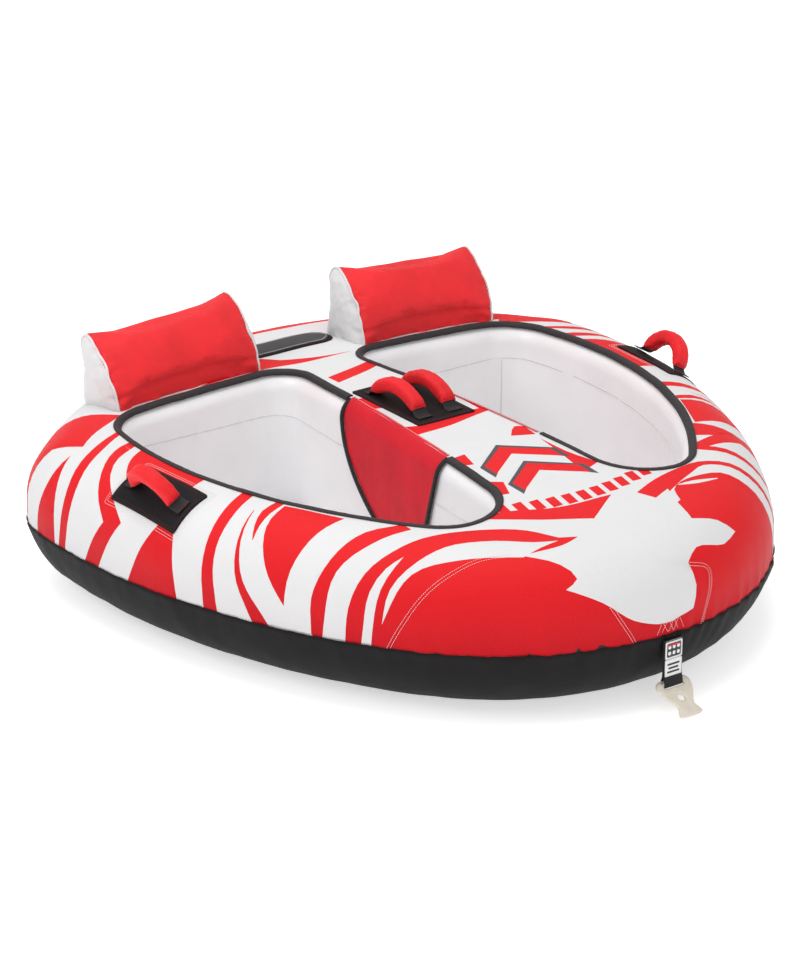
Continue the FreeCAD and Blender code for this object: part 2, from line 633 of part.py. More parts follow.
def make_tow_gear():
    """Tab under the seam at the bow, hanging strap with two blank labels, and the quick connector."""
    bow_y = size("BowY") - size("BowRadius")
    seam = size("SeamHeight")
    tool = box("TowTab", "TabWide", "300", "TabDrop + 4", (0, bow_y + 60, seam - size("TabDrop")))
    finish("tow_tab", cut("TowTab", common("TowTab", patch_hull, tool), cover_hull))
    hang_y = bow_y - size("PatchSkin") - size("StrapThick") / 2 - 0.6
    axis_z = seam - 4
    eye_z = axis_z - size("StrapLong")
    flat = box("StrapFlat", "StrapWide", "StrapThick", "StrapLong", (0, hang_y, eye_z))
    half = size("StrapWide") / 2
    eye = cylinder("StrapEye", "StrapEye", "StrapWide", (-half, hang_y, eye_z), (0, 1, 0), 90)
    bore = cylinder("StrapBoreTool", "StrapBore", "StrapWide", (-half, hang_y, eye_z), (0, 1, 0), 90)
    finish("tow_strap", cut("TowStrap", fuse("TowStrap", flat, eye), bore))
    face_y = hang_y - (size("StrapThick") + size("LabelThick")) / 2
    top = axis_z - 4
    for node, long in (("strap_label_upper", "UpperLabelLong"), ("strap_label_lower", "LowerLabelLong")):
        top -= size(long)
        finish(node, box(node.title().replace("_", ""), "LabelWide", "LabelThick", long, (0, face_y, top)))
        top -= 1
    finish("tow_connector", make_connector(hang_y, eye_z))
    print(f"tow strap: axis y {hang_y:.1f} z {axis_z:.1f}, eye z {eye_z:.1f}")


def make_connector(bar_y, bar_z):
    """Plastic quick connector: a bar for the strap, a tapered plate with a hole, a flared foot."""
    right = [
        ("ConnectorSlot", "ConnectorHead"), ("ConnectorShoulder - 8", "ConnectorHead"),
        ("ConnectorShoulder", "ConnectorHead - 8"), ("ConnectorShoulder - 2", "0 - ConnectorSlotDeep - 2"),
        ("ConnectorNeck", "0 - ConnectorNeckStart"), ("ConnectorNeck", "0 - ConnectorNeckEnd"),
        ("ConnectorFoot", "6 - ConnectorLong"), ("ConnectorFoot", "0 - ConnectorLong"),
    ]
    left = [(f"0 - ( {across} )", along) for across, along in reversed(right)]
    slot = [("0 - ConnectorSlot", "0 - ConnectorSlotDeep"), ("ConnectorSlot", "0 - ConnectorSlotDeep")]
    body = doc.addObject("PartDesign::Body", "ConnectorPlate")
    sketch = empty_sketch(body, "ConnectorSketch")
    outline = right + left + slot
    polygon(sketch, [vector(worked_out(across), worked_out(along)) for across, along in outline])
    for number, (across, along) in enumerate(outline):
        hold_point(sketch, number, f"Corner{number}", across, along)
    hole = sketch.addGeometry(
        Part.Circle(vector(0, size("ConnectorHoleY")), vector(0, 0, 1), size("ConnectorHole")), False)
    pin_centre(sketch, hole, "Hole", "0", "ConnectorHoleY")
    pin_radius(sketch, hole, "HoleArc", "ConnectorHole")
    feature = body.newObject("PartDesign::Pad", "ConnectorPad")
    feature.Profile = sketch
    feature.Midplane = True
    bind(feature, Length="ConnectorThick")
    doc.recompute()

    def corner(edge):
        return edge.BoundBox.ZLength > size("ConnectorThick") - TINY and abs(edge.BoundBox.XMin) > slot_edge

    slot_edge = size("ConnectorSlot") + 1
    softened = round_edges("ConnectorRound", body, size("ConnectorCorner"), corner)
    half = size("ConnectorSlot") + 3
    bar = cylinder("ConnectorBarSolid", "ConnectorBar", "2 * ConnectorSlot + 6", (-half, 0, 0), (0, 1, 0), 90)
    whole = fuse("Connector", softened, bar)
    return place(whole, (0, bar_y, bar_z), (1, 0, 0), 90 - size("ConnectorLean"))


def make_main_valve():
    """Screw valve in a pocket of the deck, a black patch round it and a fabric flap over it."""
    y = size("ValveY")
    deck = crown_height(0, y)
    floor_z = deck - size("ValveDepth")
    cup = cylinder("ValveCup", "ValveRadius", "ValveDepth - 2", (0, y, floor_z))
    bore = cylinder("ValveBoreTool", "ValveBore", "ValveDepth", (0, y, floor_z + size("ValveFloor")))
    finish("valve_base", cut("ValveBase", cup, bore))
    lid_z = floor_z + size("ValveFloor") + size("LidPlay")
    lid = cylinder("ValveLid", "ValveBore - LidPlay", "LidThick", (0, y, lid_z))
    key_z = floor_z + size("ValveFloor") + size("LidThick")
    key = box("ValveKey", "LidKeyLong", "LidKeyWide", "LidKeyRise", (0, y, key_z))
    finish("valve_cap", fuse("ValveCap", lid, key))
    pieces = {}
    for name, low, extra in (("ValvePatch", cover_hull, size("PatchMargin")), ("ValveFlap", patch_hull, 0)):
        round_ends = size("FlapWide") / 2 + extra
        reach = size("FlapLong") / 2 - size("FlapWide") / 2
        middle = box(name + "Middle", "FlapLong - FlapWide", f"FlapWide + {2 * extra}", "HullHeight",
                     (0, y, size("SeamHeight")))
        ends = [cylinder(f"{name}End{n}", str(round_ends), "HullHeight", (way * reach, y, size("SeamHeight")))
                for n, way in enumerate((-1, 1))]
        tool = fuse(name + "Tool", middle, *ends)
        high = patch_hull if low is cover_hull else webbing_hull
        rest_tools = (rest_envelope, mirror(name + "Rest", rest_envelope))
        pieces[name] = cut(name, common(name, high, tool), low, *rest_tools)
    patch_hole = cylinder("PatchHole", "ValveRadius", "HullHeight", (0, y, size("SeamHeight")))
    finish("valve_patch", cut("ValvePatchOpen", pieces["ValvePatch"], patch_hole))
    finish("valve_flap", place(pieces["ValveFlap"], (0, 0, size("FlapLift"))))
    rear_y = y + size("FlapWide") / 2
    print(f"valve flap: axis y {rear_y:.1f} z {crown_height(0, rear_y) + size('PatchSkin') + 1.75:.1f}")


def stern_centre():
    """The Y of the stern arc's centre."""
    reach = size("SternRadius") - size("CornerRadius")
    return size("CornerY") - math.sqrt(reach ** 2 - size("CornerX") ** 2)


def stern_band(name, inner, outer, low, high, degrees, middle=0.0):
    """A curved strip round the stern, between two radii and two heights."""
    start = 90 + middle - degrees / 2
    where = (0, stern_centre(), low)
    tall = str(high - low)
    outside = cylinder(name + "Out", f"SternRadius + {outer}", tall, where, (0, 0, 1), start, str(degrees))
    inside = cylinder(name + "In", f"SternRadius + {inner}", tall, where, (0, 0, 1), start, str(degrees))
    return cut(name, outside, inside)


def make_zipper():
    """Tape, teeth, slider and pull that close the cover round the stern."""
    low = size("ZipperLow")
    high = size("ZipperHigh")
    middle = (low + high) / 2
    half_tooth = size("ToothHeight") / 2
    sweep = size("ZipperAngle")
    tape = size("TapeSkin")
    finish("zipper_tape", stern_band("ZipperTape", 0, tape, low, high, sweep))
    teeth = stern_band("ZipperTeeth", tape, size("ToothSkin"), middle - half_tooth, middle + half_tooth, sweep - 2)
    finish("zipper_teeth", teeth)
    per_mm = math.degrees(1 / size("SternRadius"))
    parked = sweep / 2 - 2.5
    half_tall = size("SliderTall") / 2
    slider = stern_band("ZipperSlider", size("SliderLow"), size("SliderHigh"), middle - half_tall,
                        middle + half_tall, size("SliderLong") * per_mm, parked)
    finish("zipper_slider", slider)
    pull = stern_band("ZipperPull", size("PullLow"), size("PullHigh"), middle - size("PullHang"),
                      middle + size("PullHead"), size("PullWide") * per_mm, parked)
    finish("zipper_pull", pull)


make_cover()
make_bladder()
make_divider_flaps()
make_backrests()
make_handles()
make_tow_gear()
make_main_valve()
make_zipper()
doc.recompute()

# ---------------------------------------------------------------- checks and files
failed = [item.Name for item in doc.Objects if {"Invalid", "Error"} & set(item.State)]
for node, item in FINISHED.items():
    shape = item.Shape
    if shape.isNull() or not shape.isValid() or not shape.Solids:
        failed.append(node)
if failed:
    raise SystemExit(f"these failed: {failed}")
os.makedirs("parts", exist_ok=True)
whole = FreeCAD.BoundBox()
for node, item in FINISHED.items():
    item.Shape.exportStep(f"parts/{node}.step")
    whole.add(item.Shape.BoundBox)
    print(f"{node}: {len(item.Shape.Solids)} solid(s), {item.Shape.Volume / 1000:.1f} cm3")
print(f"{len(FINISHED)} nodes, box {whole}")
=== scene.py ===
import math

import bmesh
import bpy
import numpy as np
from mathutils import Matrix, Vector, noise
from mathutils.bvhtree import BVHTree
from mathutils.geometry import delaunay_2d_cdt


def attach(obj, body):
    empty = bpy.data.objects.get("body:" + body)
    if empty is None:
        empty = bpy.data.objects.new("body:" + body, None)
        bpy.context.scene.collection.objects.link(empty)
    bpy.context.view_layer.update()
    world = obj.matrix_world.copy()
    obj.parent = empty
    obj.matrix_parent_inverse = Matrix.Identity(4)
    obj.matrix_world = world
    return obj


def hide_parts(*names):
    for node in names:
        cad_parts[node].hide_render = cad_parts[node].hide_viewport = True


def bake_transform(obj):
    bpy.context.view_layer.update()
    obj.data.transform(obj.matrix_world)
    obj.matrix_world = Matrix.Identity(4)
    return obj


# Two-rider cockpit towable tube. Lengths in this file are millimetres in the row frame (+Z up, bow
# towards -Y) and become metres where a mesh is made.
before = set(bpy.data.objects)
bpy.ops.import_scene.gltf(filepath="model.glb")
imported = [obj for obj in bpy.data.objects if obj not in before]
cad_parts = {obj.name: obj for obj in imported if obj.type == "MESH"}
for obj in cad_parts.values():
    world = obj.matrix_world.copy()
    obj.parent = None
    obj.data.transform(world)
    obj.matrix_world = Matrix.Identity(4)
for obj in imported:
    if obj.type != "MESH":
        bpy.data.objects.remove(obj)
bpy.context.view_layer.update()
MM = 0.001

# hull: plan outline of tangent arcs, crowned deck, rounded edge, wall and rounded underside
BOW_RADIUS, BOW_Y = 640.0, -169.0
SIDE_RADIUS = 1500.0
CORNER_RADIUS, CORNER_X, CORNER_Y = 215.0, 597.0, 424.0
STERN_RADIUS = 1020.0
HEIGHT, CROWN_RADIUS, CROWN_Y = 406.0, 7250.0, 95.0
DECK_ROUND, BASE_ROUND, SEAM_Z = 150.0, 190.0, 165.0
# wells
WELL_FRONT = (273.0, -345.0, 130.0)
WELL_OUTER = (488.0, 386.0, 118.0)
WELL_INNER = (170.0, 418.0, 85.0)
WELL_SIDE_RADIUS = 983.0
FLOOR_Z = 63.0
WELD_Z = 292.0
# main valve
VALVE_AT, VALVE_HOLE_RADIUS = np.array([0.0, 640.0]), 30.5
TRIANGLE_RISE = 0.866


# ---------------------------------------------------------------- plan outlines

def circles_meet(a, radius_a, b, radius_b):
    """The point at two distances from two centres, on the left of the way from a to b."""
    along = b - a
    gap = np.hypot(*along)
    reach = (radius_a ** 2 - radius_b ** 2 + gap ** 2) / (2 * gap)
    rise = math.sqrt(radius_a ** 2 - reach ** 2)
    return a + along * (reach / gap) + np.array([-along[1], along[0]]) * (rise / gap)


def heading(a, b):
    return math.atan2(b[1] - a[1], b[0] - a[0])


bow = np.array([0.0, BOW_Y])
corner = np.array([CORNER_X, CORNER_Y])
flank = circles_meet(bow, SIDE_RADIUS - BOW_RADIUS, corner, SIDE_RADIUS - CORNER_RADIUS)
stern = np.array([0.0, CORNER_Y - math.sqrt((STERN_RADIUS - CORNER_RADIUS) ** 2 - CORNER_X ** 2)])
TURNS = [-math.pi / 2, heading(flank, bow), heading(flank, corner), heading(stern, corner), math.pi / 2]
HULL_ARCS = [
    (centre, radius, TURNS[n], TURNS[n + 1])
    for n, (centre, radius) in enumerate(
        [(bow, BOW_RADIUS), (flank, SIDE_RADIUS), (corner, CORNER_RADIUS), (stern, STERN_RADIUS)])
]


def walk(arcs, step, closed_by_mirror=False):
    """Points and outward directions along arcs and straight edges, about one step apart."""
    points, out = [], []
    for piece in arcs:
        if len(piece) == 4:
            centre, radius, start, end = piece
            count = max(3, int(abs(end - start) * radius / step))
            angle = start + (end - start) * np.arange(count) / count
            direction = np.c_[np.cos(angle), np.sin(angle)]
            points.append(centre + radius * direction)
            out.append(direction)
        else:
            a, b, direction = piece
            count = max(3, int(np.hypot(*(b - a)) / step))
            share = (np.arange(count) / count)[:, None]
            points.append(a + (b - a) * share)
            out.append(np.repeat(direction[None], count, 0))
    points, out = np.vstack(points), np.vstack(out)
    if closed_by_mirror:
        flip = np.array([-1.0, 1.0])
        points = np.vstack([points, [[0.0, arcs[-1][0][1] + arcs[-1][1]]], (points * flip)[:0:-1]])
        out = np.vstack([out, [[0.0, 1.0]], (out * flip)[:0:-1]])
    return points, out


def well_arcs():
    """The right well's edge: three corners, a long side arc and two straight edges."""
    front, outer, inner = (np.array(c[:2]) for c in (WELL_FRONT, WELL_OUTER, WELL_INNER))
    r_front, r_outer, r_inner = WELL_FRONT[2], WELL_OUTER[2], WELL_INNER[2]
    side = circles_meet(front, WELL_SIDE_RADIUS - r_front, outer, WELL_SIDE_RADIUS - r_outer)
    first, second = heading(side, front), heading(side, outer)

    def straight(a, radius_a, b, radius_b):
        lean = math.asin((radius_a - radius_b) / np.hypot(*(b - a)))
        turn = heading(a, b) - math.pi / 2 + lean
        out = np.array([math.cos(turn), math.sin(turn)])
        return (a + out * radius_a, b + out * radius_b, out), turn

    rear, rear_turn = straight(outer, r_outer, inner, r_inner)
    divider, divider_turn = straight(inner, r_inner, front, r_front)
    return [
        (front, r_front, divider_turn, first + 2 * math.pi if first < divider_turn else first),
        (side, WELL_SIDE_RADIUS, first, second),
        (outer, r_outer, second, rear_turn if rear_turn > second else rear_turn + 2 * math.pi),
        rear,
        (inner, r_inner, rear_turn, divider_turn if divider_turn > rear_turn else divider_turn + 2 * math.pi),
        divider,
    ]


WELL_EDGE, WELL_OUT = walk(well_arcs(), 7.0)
HULL_EDGE, HULL_OUT = walk(HULL_ARCS, 9.0, closed_by_mirror=True)


def mirrored(points):
    return points * np.array([-1.0] + [1.0] * (points.shape[1] - 1))


def inside(points, loop):
    """Which points lie inside a closed loop."""
    x, y = points[:, 0], points[:, 1]
    result = np.zeros(len(points), bool)
    for (ax, ay), (bx, by) in zip(loop, np.roll(loop, -1, 0)):
        if ay == by:
            continue
        crosses = (ay > y) != (by > y)
        result ^= crosses & (x < (bx - ax) * (y - ay) / (by - ay) + ax)
    return result


# ---------------------------------------------------------------- the cover's surface as a flat chart
# On the deck the chart is the plan. Past the deck's edge it runs on by the distance along the skin.

def from_edge(chart):
    """How far inside the outline each chart point lies, and the outline's outward direction there."""
    sign = np.where(chart[:, 0] < 0, -1.0, 1.0)
    point = chart * np.c_[sign, np.ones(len(chart))]
    depth = np.full(len(point), 1e9)
    out = np.zeros_like(point)
    for centre, radius, start, end in HULL_ARCS:
        away = point - centre
        reach = np.maximum(np.hypot(away[:, 0], away[:, 1]), 1e-6)
        angle = np.arctan2(away[:, 1], away[:, 0])
        mine = (angle >= start - 1e-6) & (angle <= end + 1e-6) & (radius - reach < depth)
        depth[mine] = (radius - reach)[mine]
        out[mine] = away[mine] / reach[mine, None]
    out[:, 0] *= sign
    return depth, out


def ripple(chart, depth, past_seam):
    """Small folds of the cloth: gathers along the seam and round the wells, and slow waves between."""
    folds = np.empty(len(chart))
    for n, ((x, y), past) in enumerate(zip(chart, past_seam)):
        slow = noise.noise(Vector((x * 0.011, y * 0.011, 3.0))) * 1.5
        turn = math.atan2(y, x)
        gather = noise.noise(Vector((math.cos(turn) * 26, math.sin(turn) * 26, 1.0)))
        gather += 0.6 * noise.noise(Vector((math.cos(turn) * 61, math.sin(turn) * 61, past * 0.01)))
        near_seam = math.exp(-abs(past) / 42.0)
        at_bow = 1.0 + 1.2 * max(0.0, -math.sin(turn)) ** 4
        folds[n] = slow + 3.0 * at_bow * near_seam * gather
    return folds


def skin(chart, height=0.0, folds=True):
    """Where a chart point lies in space, that far above the cloth, and the outward direction."""
    chart = np.atleast_2d(np.asarray(chart, float))
    depth, out = from_edge(chart)
    ball = chart + out * (depth - DECK_ROUND)[:, None]
    sphere_z = HEIGHT - CROWN_RADIUS
    ball_z = sphere_z + np.sqrt(
        (CROWN_RADIUS - DECK_ROUND) ** 2 - ball[:, 0] ** 2 - (ball[:, 1] - CROWN_Y) ** 2)
    tilt_sine = (ball[:, 0] * out[:, 0] + (ball[:, 1] - CROWN_Y) * out[:, 1]) / (CROWN_RADIUS - DECK_ROUND)
    tilt = np.arcsin(tilt_sine)
    past = DECK_ROUND - depth
    to_wall = DECK_ROUND * (tilt_sine + math.pi / 2 - tilt)
    to_base = to_wall + ball_z - BASE_ROUND
    deck_z = sphere_z + np.sqrt(CROWN_RADIUS ** 2 - chart[:, 0] ** 2 - (chart[:, 1] - CROWN_Y) ** 2)
    deck_up = np.c_[chart[:, 0], chart[:, 1] - CROWN_Y, deck_z - sphere_z] / CROWN_RADIUS
    roll = np.clip(tilt + (past - DECK_ROUND * tilt_sine) / DECK_ROUND, 0, math.pi / 2)
    under = np.clip((past - to_base) / BASE_ROUND, 0, math.pi / 2)
    edge_at = np.c_[ball + out * (DECK_ROUND * np.sin(roll))[:, None], ball_z + DECK_ROUND * np.cos(roll)]
    edge_up = np.c_[out * np.sin(roll)[:, None], np.cos(roll)]
    wall_at = np.c_[ball + out * DECK_ROUND, ball_z - (past - to_wall)]
    wall_up = np.c_[out, np.zeros(len(out))]
    inset = BASE_ROUND * (1 - np.cos(under))
    base_at = np.c_[ball + out * (DECK_ROUND - inset)[:, None], BASE_ROUND * (1 - np.sin(under))]
    base_up = np.c_[out * np.cos(under)[:, None], -np.sin(under)]
    on_deck = (past <= DECK_ROUND * tilt_sine)[:, None]
    on_edge = (past <= to_wall)[:, None]
    on_wall = (past <= to_base)[:, None]
    below_at, below_up = np.where(on_wall, wall_at, base_at), np.where(on_wall, wall_up, base_up)
    at = np.where(on_deck, np.c_[chart, deck_z], np.where(on_edge, edge_at, below_at))
    up = np.where(on_deck, deck_up, np.where(on_edge, edge_up, below_up))
    lift = np.broadcast_to(np.asarray(height, float), (len(chart),)).copy()
    if folds:
        seam_at = to_base + BASE_ROUND * math.asin((BASE_ROUND - SEAM_Z) / BASE_ROUND)
        lift += ripple(chart, depth, past - seam_at)
    return at + up * lift[:, None], up


def ring_at(drop_z, index=slice(None)):
    """Chart points round the hull where the skin is that high, below the wall's foot."""
    start = HULL_EDGE[index] + HULL_OUT[index] * -DECK_ROUND
    ball_z = HEIGHT - CROWN_RADIUS + np.sqrt(
        (CROWN_RADIUS - DECK_ROUND) ** 2 - start[:, 0] ** 2 - (start[:, 1] - CROWN_Y) ** 2)
    tilt_sine = (start[:, 0] * HULL_OUT[index, 0] + (start[:, 1] - CROWN_Y) * HULL_OUT[index, 1]) / (
        CROWN_RADIUS - DECK_ROUND)
    past = DECK_ROUND * (tilt_sine + math.pi / 2 - np.arcsin(tilt_sine)) + ball_z - BASE_ROUND
    past = past + BASE_ROUND * np.arcsin((BASE_ROUND - np.asarray(drop_z)) / BASE_ROUND)
    return start + HULL_OUT[index] * past[:, None]


# ---------------------------------------------------------------- curves and meshes

def spline(points, step=6.0, closed=False):
    """A smooth line through given points (centripetal Catmull-Rom), about one step apart."""
    points = np.asarray(points, float)
    count = len(points)
    if closed:
        padded = np.vstack([points[-1], points, points[0], points[1]])
    else:
        padded = np.vstack([2 * points[0] - points[1], points, 2 * points[-1] - points[-2]])
    line = []
    for n in range(count if closed else count - 1):
        a, b, c, d = padded[n:n + 4]
        knots = [0.0]
        for p, q in ((a, b), (b, c), (c, d)):
            knots.append(knots[-1] + max(np.linalg.norm(q - p), 1e-6) ** 0.5)
        t0, t1, t2, t3 = knots
        pieces = max(2, int(np.linalg.norm(c - b) / step))
        t = (t1 + (t2 - t1) * np.arange(pieces) / pieces)[:, None]
        ab = (t1 - t) / (t1 - t0) * a + (t - t0) / (t1 - t0) * b
        bc = (t2 - t) / (t2 - t1) * b + (t - t1) / (t2 - t1) * c
        cd = (t3 - t) / (t3 - t2) * c + (t - t2) / (t3 - t2) * d
        abc = (t2 - t) / (t2 - t0) * ab + (t - t0) / (t2 - t0) * bc
        bcd = (t3 - t) / (t3 - t1) * bc + (t - t1) / (t3 - t1) * cd
        line.append((t2 - t) / (t2 - t1) * abc + (t - t1) / (t2 - t1) * bcd)
    if not closed:
        line.append(points[-1:])
    return np.vstack(line)


def evenly(line, pitch, closed=False):
    """The same line, with points one pitch apart."""
    if closed:
        line = np.vstack([line, line[:1]])
    gaps = np.r_[0.0, np.cumsum(np.linalg.norm(np.diff(line, axis=0), axis=1))]
    count = max(2, int(round(gaps[-1] / pitch)) + 1)
    spots = np.linspace(0, gaps[-1], count)
    result = np.c_[tuple(np.interp(spots, gaps, line[:, axis]) for axis in range(line.shape[1]))]
    return result[:-1] if closed else result


def sideways(line, closed=False):
    """Unit directions across a flat line, to its left."""
    if closed:
        along = np.roll(line, -1, 0) - np.roll(line, 1, 0)
    else:
        along = np.gradient(line, axis=0)
    across = np.c_[-along[:, 1], along[:, 0]]
    return across / np.maximum(np.linalg.norm(across, axis=1), 1e-9)[:, None]


def make(name, points, faces, materials, slots=None, smooth=True):
    """An object from millimetre points; slots gives each face's material number."""
    data = bpy.data.meshes.new(name)
    data.from_pydata((np.asarray(points, float) * MM).tolist(), [], [tuple(int(i) for i in f) for f in faces])
    for material in materials if isinstance(materials, (list, tuple)) else [materials]:
        data.materials.append(material)
    if slots is not None:
        data.polygons.foreach_set("material_index", np.asarray(slots, np.int32))
    data.polygons.foreach_set("use_smooth", np.full(len(data.polygons), smooth))
    data.update()
    piece = bpy.data.objects.new(name, data)
    bpy.context.scene.collection.objects.link(piece)
    return piece


def grid_faces(rows, columns, close_rows=False, close_columns=False):
    """Quads of a grid of points stored row by row."""
    faces = []
    for i in range(rows if close_rows else rows - 1):
        for j in range(columns if close_columns else columns - 1):
            k, m = (i + 1) % rows, (j + 1) % columns
            faces.append((i * columns + j, i * columns + m, k * columns + m, k * columns + j))
    return faces


def join(name, pieces):
    """One object from several, keeping their materials."""
    whole = bmesh.new()
    materials = []
    for piece in pieces:
        part = bmesh.new()
        part.from_mesh(piece.data)
        part.transform(piece.matrix_world)
        lookup = []
        for material in piece.data.materials:
            if material not in materials:
                materials.append(material)
            lookup.append(materials.index(material))
        for face in part.faces:
            face.material_index = lookup[face.material_index]
        scratch = bpy.data.meshes.new("scratch")
        part.to_mesh(scratch)
        whole.from_mesh(scratch)
        part.free()
        bpy.data.meshes.remove(scratch)
    data = bpy.data.meshes.new(name)
    whole.to_mesh(data)
    whole.free()
    for material in materials:
        data.materials.append(material)
    for piece in pieces:
        bpy.data.objects.remove(piece, do_unlink=True)
    result = bpy.data.objects.new(name, data)
    bpy.context.scene.collection.objects.link(result)
    return result


def flip(name, piece):
    """A mirrored copy on the other side of X = 0."""
    data = piece.data.copy()
    data.transform(Matrix.Scale(-1, 4, (1, 0, 0)))
    data.flip_normals()
    copy = bpy.data.objects.new(name, data)
    bpy.context.scene.collection.objects.link(copy)
    return copy


def apply(piece, kind, **settings):
    """Adds a modifier and applies it."""
    modifier = piece.modifiers.new(kind.title(), kind)
    for key, value in settings.items():
        setattr(modifier, key, value)
    depsgraph = bpy.context.evaluated_depsgraph_get()
    data = bpy.data.meshes.new_from_object(piece.evaluated_get(depsgraph), depsgraph=depsgraph)
    piece.modifiers.clear()
    old = piece.data
    piece.data = data
    bpy.data.meshes.remove(old)
    return piece


def fill(loops, spacing, lines=(), nearness=1e-4):
    """Triangles of an area bounded by loops (the first outside) that also follow the lines inside it."""
    points, edges = [], []
    for loop in [*loops, *lines]:
        start = len(points)
        points += [tuple(p) for p in loop]
        edges += [(start + n, start + (n + 1) % len(loop)) for n in range(len(loop))]
    low, high = loops[0].min(0), loops[0].max(0)
    spots = []
    for n, y in enumerate(np.arange(low[1], high[1], spacing * TRIANGLE_RISE)):
        x = np.arange(low[0] + (n % 2) * spacing / 2, high[0], spacing)
        spots.append(np.c_[x, np.full(len(x), y)])
    spots = np.vstack(spots)
    good = inside(spots, loops[0])
    for loop in loops[1:]:
        good &= ~inside(spots, loop)
    points += [tuple(p) for p in spots[good]]
    result = delaunay_2d_cdt([Vector(p) for p in points], edges, [], 0, nearness, False)
    flat = np.array([tuple(v) for v in result[0]])
    return flat, np.array([f for f in result[2] if len(f) == 3])


def turned_down(count, start):
    """Quads from a loop at the start of the points to its copy that begins further on."""
    return [(n, start + n, start + (n + 1) % count, (n + 1) % count) for n in range(count)]


def face_outwards(piece):
    mesh = bmesh.new()
    mesh.from_mesh(piece.data)
    bmesh.ops.recalc_face_normals(mesh, faces=mesh.faces)
    mesh.to_mesh(piece.data)
    mesh.free()


def gap_to(loops, flat):
    """How far each flat point is from the nearest point of the loops."""
    gap = np.full(len(flat), 1e9)
    for loop in loops:
        for point in loop:
            gap = np.minimum(gap, np.hypot(*(flat - point).T))
    return gap


# ---------------------------------------------------------------- materials

def shader(name, roughness, metallic=0.0, sheen=0.0, coat=0.0, coat_roughness=0.1, specular=0.5):
    """A new material with its own Principled shader; returns material, nodes, links and shader."""
    material = bpy.data.materials.new(name)
    material.use_nodes = True
    nodes, links = material.node_tree.nodes, material.node_tree.links
    surface = nodes["Principled BSDF"]
    surface.inputs["Roughness"].default_value = roughness
    surface.inputs["Metallic"].default_value = metallic
    surface.inputs["Sheen Weight"].default_value = sheen
    surface.inputs["Sheen Roughness"].default_value = 0.45
    surface.inputs["Coat Weight"].default_value = coat
    surface.inputs["Coat Roughness"].default_value = coat_roughness
    surface.inputs["Specular IOR Level"].default_value = specular
    return material, nodes, links, surface


def node(nodes, kind, inputs=None, **settings):
    made = nodes.new(kind)
    for key, value in settings.items():
        setattr(made, key, value)
    for key, value in (inputs or {}).items():
        made.inputs[key].default_value = value
    return made


def object_space(nodes, links, scale=(1, 1, 1), turn=(0, 0, 0)):
    place = nodes.new("ShaderNodeTexCoord")
    mapping = node(nodes, "ShaderNodeMapping", {"Scale": scale, "Rotation": turn})
    links.new(place.outputs["Object"], mapping.inputs["Vector"])
    return mapping.outputs["Vector"]


def noise_of(nodes, links, vector, scale, detail=3.0, roughness=0.5):
    texture = node(nodes, "ShaderNodeTexNoise", {"Scale": scale, "Detail": detail, "Roughness": roughness})
    links.new(vector, texture.inputs["Vector"])
    return texture.outputs["Fac"]


def sum_of(nodes, links, a, b, b_share=1.0):
    mix = node(nodes, "ShaderNodeMath", {2: 0.0}, operation="MULTIPLY_ADD")
    links.new(b, mix.inputs[0])
    mix.inputs[1].default_value = b_share
    links.new(a, mix.inputs[2])
    return mix.outputs[0]


def weave_height(nodes, links, pitch):
    """Crossed threads of a plain weave, as a height from object space."""
    vector = object_space(nodes, links)
    waves = []
    for direction in ("X", "Z", "Y"):
        wave = node(nodes, "ShaderNodeTexWave", {
            "Scale": 0.314 / pitch / 2, "Distortion": 0.6, "Detail": 1.0, "Detail Scale": 1.5},
            bands_direction=direction, wave_type="BANDS")
        links.new(vector, wave.inputs["Vector"])
        waves.append(wave.outputs["Fac"])
    high = node(nodes, "ShaderNodeMath", operation="MAXIMUM")
    links.new(waves[0], high.inputs[0])
    links.new(waves[1], high.inputs[1])
    mix = node(nodes, "ShaderNodeMath", operation="MULTIPLY_ADD")
    links.new(waves[2], mix.inputs[0])
    mix.inputs[1].default_value = 0.7
    links.new(high.outputs[0], mix.inputs[2])
    return mix.outputs[0]


def bumped(nodes, links, surface, height, strength, distance):
    bump = node(nodes, "ShaderNodeBump", {"Strength": strength, "Distance": distance})
    links.new(height, bump.inputs["Height"])
    links.new(bump.outputs["Normal"], surface.inputs["Normal"])


def tinted(nodes, links, surface, factor, low, high, start=0.3, end=0.7):
    """Base colour between two tints by a factor."""
    ramp = node(nodes, "ShaderNodeValToRGB")
    ramp.color_ramp.elements[0].position = start
    ramp.color_ramp.elements[0].color = (*low, 1)
    ramp.color_ramp.elements[1].position = end
    ramp.color_ramp.elements[1].color = (*high, 1)
    links.new(factor, ramp.inputs["Fac"])
    links.new(ramp.outputs["Color"], surface.inputs["Base Color"])
    return ramp


def varied_roughness(nodes, links, surface, factor, low, high):
    spread = node(nodes, "ShaderNodeMapRange", {"To Min": low, "To Max": high})
    links.new(factor, spread.inputs["Value"])
    links.new(spread.outputs["Result"], surface.inputs["Roughness"])


def shade(colour, amount):
    return tuple(max(0.0, min(1.0, part * amount)) for part in colour)


